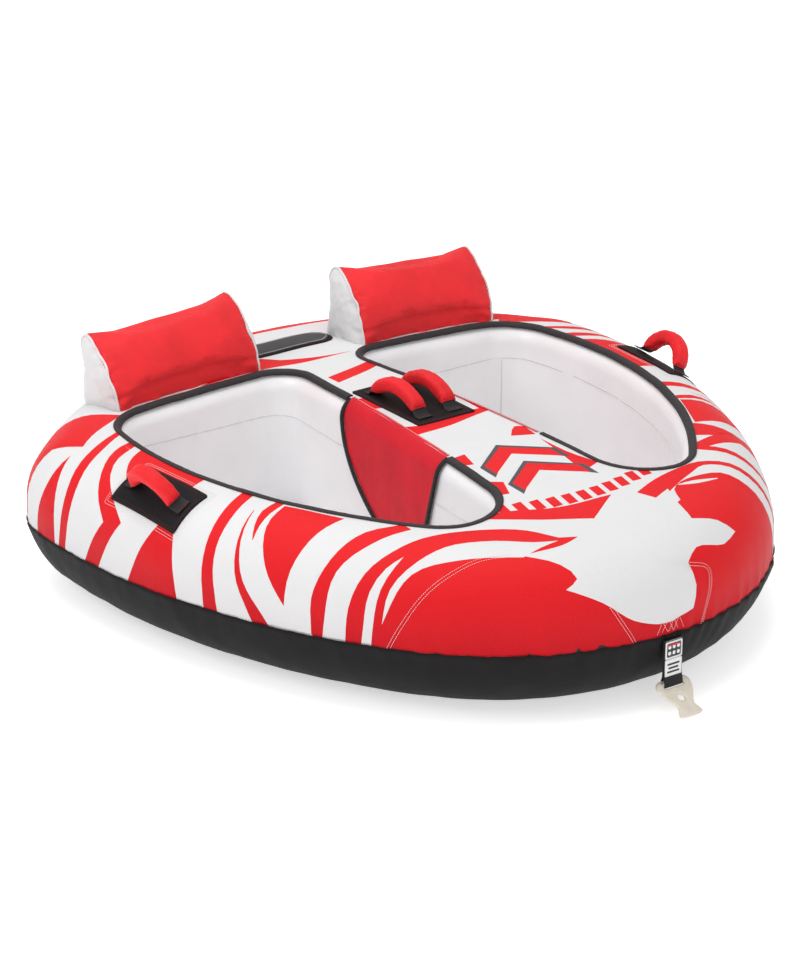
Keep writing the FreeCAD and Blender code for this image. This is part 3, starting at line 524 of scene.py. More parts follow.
def cloth(name, colour, pitch=0.0011, roughness=0.6, sheen=0.04, crumple=0.6, contrast=0.12, gloss=0.3):
    """Woven nylon: threads, slow creases, slightly uneven dye and sheen."""
    material, nodes, links, surface = shader(name, roughness, sheen=sheen, specular=gloss)
    vector = object_space(nodes, links)
    blotch = noise_of(nodes, links, vector, 9.0, 4.0, 0.6)
    fine = noise_of(nodes, links, vector, 420.0, 2.0, 0.6)
    tinted(nodes, links, surface, sum_of(nodes, links, blotch, fine, 0.25),
           shade(colour, 1 - contrast), shade(colour, 1 + contrast), 0.42, 0.82)
    varied_roughness(nodes, links, surface, fine, roughness - 0.08, roughness + 0.1)
    crease = noise_of(nodes, links, vector, 26.0, 4.0, 0.55)
    height = sum_of(nodes, links, weave_height(nodes, links, pitch), crease, 5.0 * crumple)
    bumped(nodes, links, surface, height, 0.35, 0.0006)
    return material


def printed(name, colour, shaded_low_colour, roughness=0.5):
    """Printed nylon of the cover: the colour darkens from the deck down to the seam as painted shade of the
    lower sides, with some real deepening of the red ink.
    """
    material, nodes, links, surface = shader(name, roughness, specular=0.12)
    vector = object_space(nodes, links)
    split = nodes.new("ShaderNodeSeparateXYZ")
    links.new(vector, split.inputs[0])
    blotch = noise_of(nodes, links, vector, 6.0, 4.0, 0.6)
    # painted shade: the lower on the hull, the darker the colour, standing in for the shade of the lower
    # sides (for the red, partly the ink's own gradient)
    level = node(nodes, "ShaderNodeMapRange", {"From Min": 0.17, "From Max": 0.40})
    links.new(split.outputs["Z"], level.inputs["Value"])
    tinted(nodes, links, surface, sum_of(nodes, links, level.outputs["Result"], blotch, 0.18),
           shaded_low_colour, colour, 0.05, 1.05)
    fine = noise_of(nodes, links, vector, 380.0, 2.0, 0.6)
    varied_roughness(nodes, links, surface, fine, roughness - 0.08, roughness + 0.1)
    crease = noise_of(nodes, links, vector, 14.0, 5.0, 0.55)
    height = sum_of(nodes, links, weave_height(nodes, links, 0.0011), crease, 7.0)
    bumped(nodes, links, surface, height, 0.35, 0.0007)
    return material


def film(name, colour, roughness=0.32):
    """Welded PVC film: smooth, slightly waxy, with soft dents."""
    material, nodes, links, surface = shader(name, roughness, coat=0.25, coat_roughness=0.3)
    surface.inputs["Subsurface Weight"].default_value = 0.06
    surface.inputs["Subsurface Radius"].default_value = (0.01, 0.008, 0.008)
    vector = object_space(nodes, links)
    slow = noise_of(nodes, links, vector, 5.0, 3.0, 0.5)
    fine = noise_of(nodes, links, vector, 600.0, 2.0, 0.5)
    tinted(nodes, links, surface, slow, shade(colour, 0.95), shade(colour, 1.02))
    varied_roughness(nodes, links, surface, slow, roughness - 0.05, roughness + 0.08)
    dents = noise_of(nodes, links, vector, 11.0, 3.0, 0.5)
    bumped(nodes, links, surface, sum_of(nodes, links, fine, dents, 9.0), 0.25, 0.0005)
    return material


def webbing(name, colour, along, pitch=0.0022):
    """Ribbed strap cloth; along is the axis that the ribs cross."""
    material, nodes, links, surface = shader(name, 0.6, sheen=0.03, specular=0.25)
    vector = object_space(nodes, links)
    wave = node(nodes, "ShaderNodeTexWave", {"Scale": 0.314 / pitch / 2, "Distortion": 0.4, "Detail": 1.0},
                bands_direction=along, wave_type="BANDS")
    links.new(vector, wave.inputs["Vector"])
    fine = noise_of(nodes, links, vector, 700.0, 3.0, 0.6)
    tinted(nodes, links, surface, fine, shade(colour, 0.75), shade(colour, 1.5))
    varied_roughness(nodes, links, surface, fine, 0.5, 0.75)
    bumped(nodes, links, surface, sum_of(nodes, links, wave.outputs["Fac"], fine, 0.5), 0.6, 0.0006)
    return material


def moulded(name, colour, roughness=0.35, coat=0.0, grain=0.2, metallic=0.0):
    """Moulded plastic or a small painted casting: fine grain, faint flow marks, worn tint."""
    material, nodes, links, surface = shader(name, roughness, metallic=metallic, coat=coat)
    vector = object_space(nodes, links)
    slow = noise_of(nodes, links, vector, 35.0, 4.0, 0.6)
    fine = noise_of(nodes, links, vector, 1800.0, 2.0, 0.5)
    tinted(nodes, links, surface, slow, shade(colour, 0.9), shade(colour, 1.06))
    varied_roughness(nodes, links, surface, slow, roughness - 0.06, roughness + 0.12)
    bumped(nodes, links, surface, sum_of(nodes, links, fine, slow, 2.0), grain, 0.0002)
    return material


RED = (0.80, 0.020, 0.026)

# print_red and print_white darken towards the seam: the white's darkening is painted shade, the red's is
# partly painted shade and partly deeper ink
print_red = printed("print_red", (0.80, 0.016, 0.020), (0.46, 0.002, 0.008))
print_white = printed("print_white", (0.76, 0.76, 0.765), (0.60, 0.59, 0.60))
print_grey = printed("print_grey", (0.10, 0.09, 0.10), (0.10, 0.09, 0.10))
skirt_cloth = cloth("skirt_cloth", (0.010, 0.009, 0.010), sheen=0.0, crumple=1.2, gloss=0.1)
base_cloth = cloth("base_cloth", (0.02, 0.02, 0.021), crumple=0.8)
bladder_film = film("bladder_film", (0.92, 0.92, 0.93))
weld_film = film("weld_film", (0.70, 0.70, 0.71), 0.4)
floor_film = film("floor_film", (0.90, 0.90, 0.91), 0.42)
binding_tape = webbing("binding_tape", (0.030, 0.027, 0.029), "Z", 0.0018)
black_webbing = webbing("black_webbing", (0.012, 0.011, 0.012), "Z")
handle_webbing = webbing("handle_webbing", (0.020, 0.019, 0.020), "Y")
patch_cloth = cloth("patch_cloth", (0.012, 0.011, 0.012), pitch=0.0014, sheen=0.0, crumple=0.8, gloss=0.12)
grip_cloth = cloth("grip_cloth", (0.74, 0.010, 0.016), pitch=0.0012, crumple=1.1)
rest_cloth = cloth("rest_cloth", RED, crumple=0.9)
gusset_cloth = cloth("gusset_cloth", (0.68, 0.68, 0.69), crumple=0.9, contrast=0.04)
flap_cloth = cloth("flap_cloth", (0.66, 0.006, 0.020), crumple=0.4)
bound_edge = webbing("bound_edge", (0.015, 0.013, 0.014), "Z", 0.0018)
piping_cord = cloth("piping_cord", (0.80, 0.74, 0.74), pitch=0.0008)
thread_white = cloth("thread_white", (0.82, 0.78, 0.78), pitch=0.0006, contrast=0.05)
thread_dark = cloth("thread_dark", (0.10, 0.02, 0.02), pitch=0.0006)
label_cloth = cloth("label_cloth", (0.74, 0.74, 0.74), pitch=0.0006, roughness=0.4, contrast=0.05)
label_ink = cloth("label_ink", (0.03, 0.03, 0.035), pitch=0.0006, roughness=0.45)
label_red = cloth("label_red", (0.62, 0.03, 0.03), pitch=0.0006, roughness=0.45)
ivory = moulded("ivory", (0.72, 0.66, 0.56), 0.4, coat=0.1)
valve_plastic = moulded("valve_plastic", (0.70, 0.70, 0.69), 0.42)
cap_plastic = moulded("cap_plastic", (0.03, 0.03, 0.032), 0.45)
flap_grey = cloth("flap_grey", (0.050, 0.048, 0.050), pitch=0.0014)
teeth_plastic = moulded("teeth_plastic", (0.02, 0.02, 0.02), 0.35)
zip_cloth = cloth("zip_cloth", (0.018, 0.018, 0.018), pitch=0.0009)
zip_metal = moulded("zip_metal", (0.28, 0.28, 0.29), 0.3, metallic=0.9)


# ---------------------------------------------------------------- the printed cover
# Every printed shape is drawn on the chart. A stroke is a line of (x, y, width); an area is a ring of
# smooth edges that meet at corners. Later shapes lie over earlier ones.

def stroke(*points):
    """A brush stroke whose width changes along it."""
    line = spline(points, 22.0)
    half = sideways(line[:, :2]) * (line[:, 2:3] / 2)
    return np.vstack([line[:, :2] + half, (line[:, :2] - half)[::-1]])


def area(*edges):
    """A closed shape from smooth edges; each edge starts where the one before it ended."""
    ring = []
    for n, edge in enumerate(edges):
        start = [edges[n - 1][-1]] if n else []
        ring.append(spline(start + list(edge), 22.0)[:-1])
    return np.vstack(ring)


def bow_splash():
    """A generic white wash of water over the bow: broad, with a few pointed tongues."""
    return area([(-275, -640), (-180, -655), (-90, -630), (10, -600), (100, -600)], [(190, -560)],
                [(165, -625), (150, -690)], [(215, -705), (255, -735)],
                [(200, -765), (110, -765), (70, -795)],
                [(80, -845), (70, -895)], [(-20, -912), (-110, -880), (-175, -815)], [(-240, -755)],
                [(-205, -745), (-220, -700), (-275, -640)])


def streaks():
    """Sweeping red bands on one side of the cover, from the rear corner to the front of the well."""
    return [
        area([(545, 500), (640, 455), (705, 410)], [(745, 490)], [(900, 560)], [(860, 700)],
             [(700, 640), (590, 560), (545, 500)]),
        area([(740, 410), (860, 430), (1010, 480)], [(1010, 365)], [(880, 365), (740, 410)]),
        stroke((560, 430, 14), (640, 395, 20), (720, 355, 28), (860, 320, 30), (1010, 345, 26)),
        area([(590, 350), (650, 340), (720, 295), (785, 240), (835, 180)], [(1010, 260)], [(1010, 205)],
             [(815, 125)], [(735, 250), (665, 300), (600, 325)], [(590, 350)]),
        area([(600, 300), (660, 270), (725, 200), (760, 110), (770, 25)], [(1010, 90)], [(1010, -135)],
             [(800, -45), (715, 10), (655, 40), (590, 60)], [(600, 300)]),
        stroke((560, -60, 30), (650, -100, 30), (740, -130, 28), (830, -170, 36), (940, -220, 48)),
        stroke((615, -140, 2), (690, -180, 8), (760, -235, 18), (810, -310, 34), (855, -380, 50)),
        stroke((545, -150, 20), (600, -165, 22), (640, -185, 12), (670, -205, 2)),
        area([(555, -170), (630, -205), (695, -270), (740, -355)], [(665, -325), (590, -310), (490, -300)],
             [(555, -170)]),
        area([(405, -395), (490, -375), (590, -380), (680, -400), (750, -440)], [(770, -480)],
             [(690, -445), (600, -410), (500, -415), (405, -425)], [(405, -395)]),
    ]


def left_bow():
    """The red bow and its white crescents left of the middle (x is mirrored afterwards)."""
    red = area([(165, -625), (205, -565), (265, -520), (360, -480), (460, -465), (560, -460), (640, -480),
                (735, -530), (860, -600)], [(760, -780), (560, -960), (300, -1080), (0, -1130)],
               [(0, -700)], [(165, -625)])
    crescent = area([(175, -635), (225, -615), (290, -565), (370, -530), (460, -520), (545, -525),
                     (615, -560)],
                    [(490, -535), (390, -575), (275, -645)], [(175, -635)])
    flash = area([(475, -490), (520, -485), (580, -495), (650, -530), (710, -560)], [(695, -580)],
                 [(630, -545), (560, -510), (475, -490)])
    return [(red, 1), (crescent, 0), (flash, 0)]


def right_bow():
    red = area([(180, -615), (200, -570), (240, -545), (310, -535), (355, -545), (400, -595), (450, -660),
                (560, -760)], [(500, -980), (260, -1100), (0, -1130)], [(0, -700)], [(180, -615)])
    sweeps = [
        stroke((440, -320, 76), (505, -355, 62), (570, -410, 38), (625, -470, 18), (665, -525, 4)),
        stroke((395, -415, 24), (450, -455, 24), (520, -520, 20), (580, -580, 14), (625, -640, 4)),
        stroke((130, -570, 60), (200, -535, 52), (280, -505, 36), (345, -490, 20), (405, -520, 22),
               (455, -575, 24), (520, -650, 16), (575, -720, 4)),
    ]
    slash = stroke((225, -555, 3), (270, -560, 16), (330, -565, 3))
    return [(shape, 1) for shape in sweeps] + [(red, 1), (slash, 0)]


def centre_print():
    """Panels between the wells: rear swooshes, bars, a chevron badge and a row of slanted dashes."""
    rear = [
        area([(105, 500), (15, 510), (-70, 550)], [(-100, 590)], [(-190, 560), (-320, 520)],
             [(-195, 520), (-110, 510), (-20, 495), (105, 500)]),
        area([(-60, 370), (40, 395), (150, 430)], [(145, 400)], [(60, 360), (-60, 325)], [(-60, 370)]),
        area([(140, 630), (175, 590), (210, 595)], [(150, 520)], [(140, 630)]),
        area([(490, 590), (600, 575), (640, 500)], [(520, 530)], [(490, 590)]),
    ]
    bars = [
        area([(-95, 210), (-45, 190)], [(-55, 120)], [(-100, 135)], [(-95, 210)]),
        area([(-120, 15), (-75, -10), (20, 5), (120, 0)], [(115, -20)],
             [(-15, -45), (-120, -50)], [(-120, 15)]),
        area([(135, 195), (125, 80), (120, -15)], [(100, -5)], [(105, 95)], [(135, 195)]),
        area([(-150, -200), (-90, -195)], [(-105, -250)], [(-160, -235)], [(-150, -200)]),
        area([(-140, -330), (-105, -355)], [(-130, -410)], [(-165, -400)], [(-140, -330)]),
        area([(60, -170), (100, -130), (120, -140)], [(115, -190)], [(60, -170)]),
        area([(110, -210), (115, -300), (140, -380)], [(80, -405)], [(95, -310)], [(110, -210)]),
        area([(-285, -450), (-180, -475), (-80, -515), (60, -525)], [(-45, -595)],
             [(-150, -540), (-275, -460)], [(-285, -450)]),
    ]
    shapes = [(shape, 1) for shape in rear + bars]
    reach, rise, thick = 92.0, 66.0, 44.0
    for colour, margin in ((2, 13), (1, 0)):
        for low in (-415, -315):
            ring = np.array([(-reach, low), (0, low + rise), (reach, low), (reach, low + thick),
                             (0, low + rise + thick), (-reach, low + thick)])
            shapes.append((ring + np.sign(ring - ring.mean(0)) * margin, colour))
    dash_long, dash_high, dash_slant, dash_pitch, dash_count, bow_out = 25, 42, 7, 39, 11, 40
    for n in range(dash_count):
        share = (n - (dash_count - 1) / 2) / (dash_count / 2)
        x, y = -10 + (n - (dash_count - 1) / 2) * dash_pitch, -478 - bow_out * math.cos(share * math.pi / 2)
        shapes.append((np.array([(x, y), (x + dash_long, y), (x + dash_long + dash_slant, y + dash_high),
                                 (x + dash_slant, y + dash_high)]), 1))
    return shapes


def stern_print():
    """The same bands carried round the stern."""
    return [
        area([(0, 770), (200, 752), (380, 700), (470, 660)], [(600, 720), (700, 860)],
             [(400, 1010), (0, 1060)], [(0, 770)]),
    ]


def make_cover():
    design = [(shape, 1) for shape in stern_print() + streaks()]
    design += [(mirrored(shape), colour) for shape, colour in design]
    for low in (-330, 330):
        design.append((stroke((low, 690, 4), (low * 1.12, 800, 40), (low * 1.3, 1010, 70)), 0))
    design += right_bow() + [(mirrored(shape), colour) for shape, colour in left_bow()] + centre_print()
    design.append((bow_splash(), 0))
    rim = ring_at(SEAM_Z)
    angle = np.linspace(0, 2 * math.pi, 40, endpoint=False)
    valve_hole = VALVE_AT + VALVE_HOLE_RADIUS * np.c_[np.cos(angle), np.sin(angle)]
    holes = [WELL_EDGE, mirrored(WELL_EDGE), valve_hole]
    flat, faces = fill([rim] + holes, 15.0, [shape for shape, _ in design], 1e-3)
    middle = flat[faces].mean(1)
    good = inside(middle, rim)
    for hole in holes:
        good &= ~inside(middle, hole)
    faces, middle = faces[good], middle[good]
    colours = np.zeros(len(faces), int)
    for shape, colour in design:
        colours[inside(middle, shape)] = colour
    used = np.unique(faces)
    lookup = np.zeros(len(flat), int)
    lookup[used] = np.arange(len(used))
    at, _ = skin(flat[used])
    cover = make("cover", at, lookup[faces], [print_white, print_red, print_grey], colours)
    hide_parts("top_cover")
    return cover


cover = make_cover()
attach(cover, "tube")


def make_skirt():
    """The black band below the seam, gathered where it is sewn to the printed cover."""
    levels = [SEAM_Z + 5, SEAM_Z + 2, SEAM_Z - 3, 155, 143, 128, 112, 96, 80, 64, 48, 34, 22, 13, 7, 4]
    heights = [1.2, 3.2, 3.4, 2.2, 1.0, 0.6, 0.4, 0.4, 0.3, 0.3, 0.2, 0.2, 0.1, 0.1, 0, 0]
    rows = []
    for level, height in zip(levels, heights):
        at, up = skin(ring_at(level), height)
        for n, point in enumerate(at):
            fold = noise.noise(Vector((point[0] * 0.02, point[1] * 0.02, level * 0.006)))
            at[n] = point + up[n] * 2.2 * fold * min(1.0, level / 60)
        rows.append(at)
    faces = grid_faces(len(rows), len(rows[0]), close_columns=True)
    skirt = make("skirt", np.vstack(rows), faces, skirt_cloth)
    skirt.data.flip_normals()
    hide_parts("base_skirt")
    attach(skirt, "tube")


make_skirt()


# ---------------------------------------------------------------- helpers that work on the skin

def finished(piece, body, node_names=()):
    """Say which body a piece rides on, which CAD nodes it stands for."""
    if node_names:
        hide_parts(*node_names)
    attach(piece, body)
    return piece


def on_skin(line, height=0.0):
    return skin(line, height)[0]


def stitches(name, line, material, height, pitch=5.2, closed=False, long=3.4, wide=1.1, lift=on_skin):
    """A row of raised thread dashes along a chart line."""
    line = evenly(np.asarray(line, float), pitch, closed)
    along = np.roll(line, -1, 0) - line
    if not closed:
        along[-1] = along[-2]
    along /= np.maximum(np.linalg.norm(along, axis=1), 1e-6)[:, None]
    across = np.c_[-along[:, 1], along[:, 0]]
    corners = [(-1, 0, 0.0), (-0.6, 1, 0.1), (0.6, 1, 0.1), (1, 0, 0.0), (0.6, -1, 0.1), (-0.6, -1, 0.1),
               (-0.5, 0, 0.9), (0.5, 0, 0.9)]
    rows = [lift(line + along * (a * long / 2) + across * (b * wide / 2), height + c) for a, b, c in corners]
    points = np.stack(rows, 1).reshape(-1, 3)
    faces = []
    for n in range(len(line)):
        k = n * 8
        faces += [(k, k + 1, k + 6), (k + 1, k + 2, k + 7, k + 6), (k + 2, k + 3, k + 7),
                  (k + 3, k + 4, k + 7), (k + 4, k + 5, k + 6, k + 7), (k + 5, k, k + 6)]
    return make(name, points, faces, material)


def panel(name, loop, height, material, thick=None, pitch=12.0, lift=on_skin):
    """A piece of cloth lying on the skin, with its cut edge turned down."""
    thick = height if thick is None else thick
    flat, faces = fill([loop], pitch)
    top = lift(flat, height)
    low = lift(loop, height - thick)
    count, start = len(loop), len(flat)
    rim = turned_down(count, start)
    return make(name, np.vstack([top, low]), [tuple(f) for f in faces] + rim, material)


def band(name, line, width, material, height=2.0, closed=False, lift=on_skin, low=0.2):
    """A flat strap along a chart line."""
    side = sideways(line, closed) * (width / 2)
    rows = []
    edge = height * 0.7
    for share, level in ((-1, low), (-1, edge), (-0.93, height), (0.93, height), (1, edge), (1, low)):
        rows.append(lift(line + side * share, level))
    return make(name, np.vstack(rows), grid_faces(len(rows), len(line), close_columns=closed), material)


def tube_along(name, path, radius, material, sides=8, closed=False):
    """A round cord along a line in space."""
    path = np.asarray(path, float)
    along = (np.roll(path, -1, 0) - np.roll(path, 1, 0)) if closed else np.gradient(path, axis=0)
    along /= np.linalg.norm(along, axis=1)[:, None]
    up = np.cross(along, [0.31, 0.2, 0.93])
    up /= np.maximum(np.linalg.norm(up, axis=1), 1e-6)[:, None]
    side = np.cross(along, up)
    rows = []
    for n in range(sides):
        angle = 2 * math.pi * n / sides
        rows.append(path + radius * (math.cos(angle) * up + math.sin(angle) * side))
    faces = grid_faces(sides, len(path), close_rows=True, close_columns=closed)
    return make(name, np.vstack(rows), faces, material)


def rectangle(centre, long, wide, turn, corner=4.0):
    """A rounded rectangle on the chart; turn is the heading of its long side in degrees."""
    ring = []
    for sx, sy, start in ((1, 1, 0), (-1, 1, 90), (-1, -1, 180), (1, -1, 270)):
        for angle in np.radians(np.linspace(start, start + 90, 4)):
            ring.append((sx * (long / 2 - corner) + corner * math.cos(angle),
                         sy * (wide / 2 - corner) + corner * math.sin(angle)))
    c, s = math.cos(math.radians(turn)), math.sin(math.radians(turn))
    return np.array(ring) @ np.array([[c, s], [-s, c]]) + np.asarray(centre, float)


def dense(loop, step=8.0):
    return evenly(loop, step, closed=True)


def chart_of(x, y):
    """The chart point whose place on the skin is above a plan point."""
    target = np.array([x, y], float)
    guess = target.copy()
    for _ in range(20):
        guess += target - skin(guess, 0, folds=False)[0][0, :2]
    return guess


def deck_z(points):
    points = np.atleast_2d(points)
    return skin(points[:, :2], 0, folds=False)[0][:, 2]


# ---------------------------------------------------------------- wells

WALL_INSET, WALL_FILLET, SKIN = 20.0, 45.0, 3.0
FILLET_RUN = WALL_FILLET * math.pi / 2


def wall_at(edge, out, distance, lift=0.0):
    """A place on a well's inflated wall: distance runs from the deck round the rim and down the wall."""
    distance = np.broadcast_to(np.asarray(distance, float), (len(edge),))
    top = deck_z(edge) - SKIN - WALL_FILLET
    turn = np.clip(distance / WALL_FILLET, 0, math.pi / 2)
    down = np.maximum(distance - FILLET_RUN, 0)
    share = np.clip(down / np.maximum(top - FLOOR_Z, 1), 0, 1)
    radius = WALL_FILLET + lift
    offset = WALL_FILLET - WALL_INSET - radius * np.sin(turn) - 7.0 * np.sin(math.pi * share)
    z = top + radius * np.cos(turn) - down
    return np.c_[edge + out * offset[:, None], z]


def make_wells():
    """The white inflated walls of both wells, with weld lines."""
    runs = list(np.linspace(0, FILLET_RUN, 14)) + list(FILLET_RUN + np.linspace(14, 292, 22))
    rows = []
    for run in runs:
        row = wall_at(WELL_EDGE, WELL_OUT, run)
        slack = 1.6 * math.sin(min(1.0, run / 160) * math.pi / 2)
        for n, point in enumerate(row):
            dent = noise.noise(Vector((point[0] * 0.012, point[1] * 0.012, point[2] * 0.016)))
            pull = noise.noise(Vector((point[0] * 0.05, point[1] * 0.05, point[2] * 0.008)))
            near_weld = math.exp(-((point[2] - WELD_Z) / 26) ** 2)
            row[n, :2] -= WELL_OUT[n] * slack * (dent + 1.4 * pull * near_weld)
        row[:, 2] = np.maximum(row[:, 2], SKIN)
        rows.append(row)
    walls = make("well_wall", np.vstack(rows), grid_faces(len(rows), len(WELL_EDGE), close_columns=True),
                 bladder_film)
    walls.data.flip_normals()
    beads = []
    weld_run = deck_z(WELL_EDGE) - SKIN - WALL_FILLET - WELD_Z + FILLET_RUN
    around = wall_at(WELL_EDGE, WELL_OUT, weld_run, -0.4)
    beads.append(tube_along("weld", around, 1.7, weld_film, 6, closed=True))
    for spot in (40, 187):
        edge = np.repeat(WELL_EDGE[spot:spot + 1], 30, 0)
        out = np.repeat(WELL_OUT[spot:spot + 1], 30, 0)
        line = wall_at(edge, out, np.linspace(FILLET_RUN + 40, FILLET_RUN + 262, 30), -0.4)
        beads.append(tube_along("weld", line, 1.6, weld_film, 6))
    right = join("well_wall_right", [walls] + beads)
    left = flip("well_wall_left", right)
    for piece in (right, left):
        finished(piece, "tube")
    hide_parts("main_bladder")


make_wells()


def make_floor_pads():
    """Inflated floors: sewn channels along the well, full edges."""
    loop = WELL_EDGE - WELL_OUT * (WALL_INSET + 2.5)
    flat, faces = fill([loop], 11.0)
    gap = gap_to([loop], flat)
    edge = 24.0
    round_share = np.sqrt(np.clip(1 - (1 - np.clip(gap / edge, 0, 1)) ** 2, 0, 1))
    z = FLOOR_Z - edge + edge * round_share
    channels, first_x, pitch, fan = 5, 150, 92, 0.16
    for number in range(channels):
        x = first_x + number * pitch + (flat[:, 1] + 345) * fan * (number - 1.5) * 0.35
        z -= 11.0 * np.exp(-((flat[:, 0] - x) / 9.0) ** 2) * np.clip(gap / 40, 0, 1)
    for n, (x, y) in enumerate(flat):
        z[n] += 1.6 * noise.noise(Vector((x * 0.02, y * 0.02, 5.0)))
    low = np.c_[loop, np.full(len(loop), SKIN)]
    count, start = len(loop), len(flat)
    rim = turned_down(count, start)
    points = np.vstack([np.c_[flat, z], low])
    pad = make("floor_cushion_right", points, [tuple(f) for f in faces] + rim, floor_film)
    for name, piece in (("right", pad), ("left", flip("floor_cushion_left", pad))):
        finished(piece, "tube", [f"floor_pad_{name}"])


make_floor_pads()

DIVIDER_START, DIVIDER_END, DIVIDER_OUT = well_arcs()[-1]
# gap in the binding, and the flap that fills it: its ends at the top and at the foot, and its drop
GAP_REAR, GAP_FRONT = 225.0, -190.0
FLAP_REAR, FLAP_FRONT, FLAP_REAR_RUN, FLAP_FRONT_RUN = 219, -183, 246, 62
FLAP_DROP, FLAP_TURNED_IN = 240, 12


def divider_edge(y):
    """Points of the right well's straight edge along the divider."""
    y = np.atleast_1d(np.asarray(y, float))
    share = (DIVIDER_START[1] - y) / (DIVIDER_START[1] - DIVIDER_END[1])
    return DIVIDER_START + (DIVIDER_END - DIVIDER_START) * share[:, None]


def make_bindings():
    """Dark tape folded over each well's edge, open where the divider's flap is sewn on."""
    on_divider = (np.abs((WELL_EDGE - DIVIDER_START) @ DIVIDER_OUT) < 1) & (WELL_EDGE[:, 0] < 200)
    gap = on_divider & (WELL_EDGE[:, 1] < GAP_REAR) & (WELL_EDGE[:, 1] > GAP_FRONT)
    first = np.flatnonzero(gap)[-1] + 1
    order = np.roll(np.arange(len(WELL_EDGE)), -first)
    order = order[~gap[order]]
    edge, out = WELL_EDGE[order], WELL_OUT[order]
    profile = [(9.5, 0.3), (9.8, 2.2), (7.0, 2.9), (2.0, 3.1), (-3.0, 2.4), (-6.0, 0.2), (-7.6, -3.5),
               (-8.0, -8.0), (-6.4, -8.4), (-5.2, -4.0), (-2.0, -1.0), (3.0, 0.2)]
    rows = []
    for offset, height in profile:
        row = on_skin(edge + out * max(offset, 0.0), height)
        row[:, :2] += out * min(offset, 0.0)
        for n in range(len(row)):
            row[n, 2] += 0.7 * noise.noise(Vector((edge[n, 0] * 0.09, edge[n, 1] * 0.09, offset * 0.05)))
        rows.append(row)
    tape = make("binding", np.vstack(rows), grid_faces(len(rows), len(edge), close_rows=True), binding_tape)
    seam = stitches("seam", edge + out * 7.0, thread_dark, 3.0, 6.0)
    right = join("well_binding_right", [tape, seam])
    for name, piece in (("right", right), ("left", flip("well_binding_left", right))):
        finished(piece, "tube", [f"opening_binding_{name}"])


make_bindings()


def make_divider_flap():
    """Red cloth sewn to the cover's edge, hanging down the divider's side to a narrow foot."""
    rows, columns = 44, 60
    total = FILLET_RUN + FLAP_DROP
    start = WALL_FILLET * math.asin((WALL_FILLET - WALL_INSET - 2) / WALL_FILLET)

    def limits(share):
        return FLAP_REAR - FLAP_REAR_RUN * share ** 2.1, FLAP_FRONT + FLAP_FRONT_RUN * share ** 1.2

    def place(y, distance, lift):
        edge = divider_edge(y)
        out = np.repeat(DIVIDER_OUT[None], len(edge), 0)
        return wall_at(edge, out, distance, lift)

    grid = []
    for i in range(rows):
        share = i / (rows - 1)
        rear, front = limits(share)
        y = np.linspace(rear, front, columns)
        distance = start + (total - start) * share
        close = 3.4 + 6.0 * math.exp(-(distance - start) / 16)
        row = place(y, distance, close)
        for n in range(columns):
            wave = noise.noise(Vector((y[n] * 0.014, distance * 0.010, 8.0)))
            fold = noise.noise(Vector((y[n] * 0.045, distance * 0.006, 2.0)))
            row[n, :2] -= DIVIDER_OUT * abs(2.6 * wave + 0.5 * fold) * min(1.0, share * 4)
        grid.append(row)
    y = np.linspace(FLAP_REAR, FLAP_FRONT, columns)
    for reach, height in ((3.0, 1.2), (9.0, 1.6)):
        grid.insert(0, on_skin(divider_edge(y) + DIVIDER_OUT * reach, height))
    flap = make("divider_cloth_right", np.vstack(grid), grid_faces(len(grid), columns), flap_cloth)

    lines = []
    steps = np.linspace(0.0, 1.0, 40)
    rear_line = np.array([(limits(s)[0], start + (total - start) * s) for s in steps])
    front_line = np.array([(limits(s)[1], start + (total - start) * s) for s in steps])[::-1]
    foot_line = np.array([(yy, total) for yy in np.linspace(rear_line[-1, 0], front_line[0, 0], 12)])[1:-1]
    line = np.vstack([rear_line, foot_line, front_line])
    across = sideways(line)
    for share, lift in ((1.5, 3.0), (1.5, 6.4), (-5.0, 7.4), (-10.5, 6.6), (-11.0, 4.4)):
        shifted = line + across * share
        lines.append(place(shifted[:, 0], shifted[:, 1], lift + 2.0))
    edge = make("divider_edge_right", np.vstack(lines), grid_faces(len(lines), len(line)), bound_edge)
    top = divider_edge(np.linspace(FLAP_REAR, FLAP_FRONT, 80)) + DIVIDER_OUT * 6.0
    seam = stitches("divider_seam_right", top, thread_white, 2.0, 5.0)
    for name, pieces in (("right", (flap, edge, seam)),
                         ("left", [flip(p.name.replace("right", "left"), p) for p in (flap, edge, seam)])):
        finished(pieces[0], "tube", [f"divider_flap_{name}"])
        finished(pieces[1], "tube")
        finished(pieces[2], "tube")


make_divider_flap()


# ---------------------------------------------------------------- backrests

REST_INNER, REST_WIDTH, REST_TILT, REST_END = 153.0, 398.0, math.radians(3.6), 12.0
REST_TOP, REST_TOP_RADIUS = np.array([640.0, 515.0]), 30.0
REST_FOOT, REST_FRONT_RADIUS = np.array([514.0, 392.0]), 240.0
REST_PIVOT = (REST_INNER + REST_WIDTH / 2, REST_TOP[1])
REST_VALVE, REST_HOLE_RADIUS = (352.0, 440.0), 10.0


def rest_section(step=7.0):
    """The right backrest's section (y, z): up the bulged front, over the top and down the back."""
    front = circles_meet(REST_TOP, REST_FRONT_RADIUS - REST_TOP_RADIUS, REST_FOOT, REST_FRONT_RADIUS)
    lean = heading(front, REST_TOP)
    low = front[1] - 30
    line = [(front[0] - REST_FRONT_RADIUS, low)]
    for angle in np.linspace(math.pi, lean, 44):
        line.append(front + REST_FRONT_RADIUS * np.array([math.cos(angle), math.sin(angle)]))
    for angle in np.linspace(lean, 0, 14)[1:]:
        line.append(REST_TOP + REST_TOP_RADIUS * np.array([math.cos(angle), math.sin(angle)]))
    line.append((REST_TOP[0] + REST_TOP_RADIUS, low))
    return evenly(np.array(line), step)


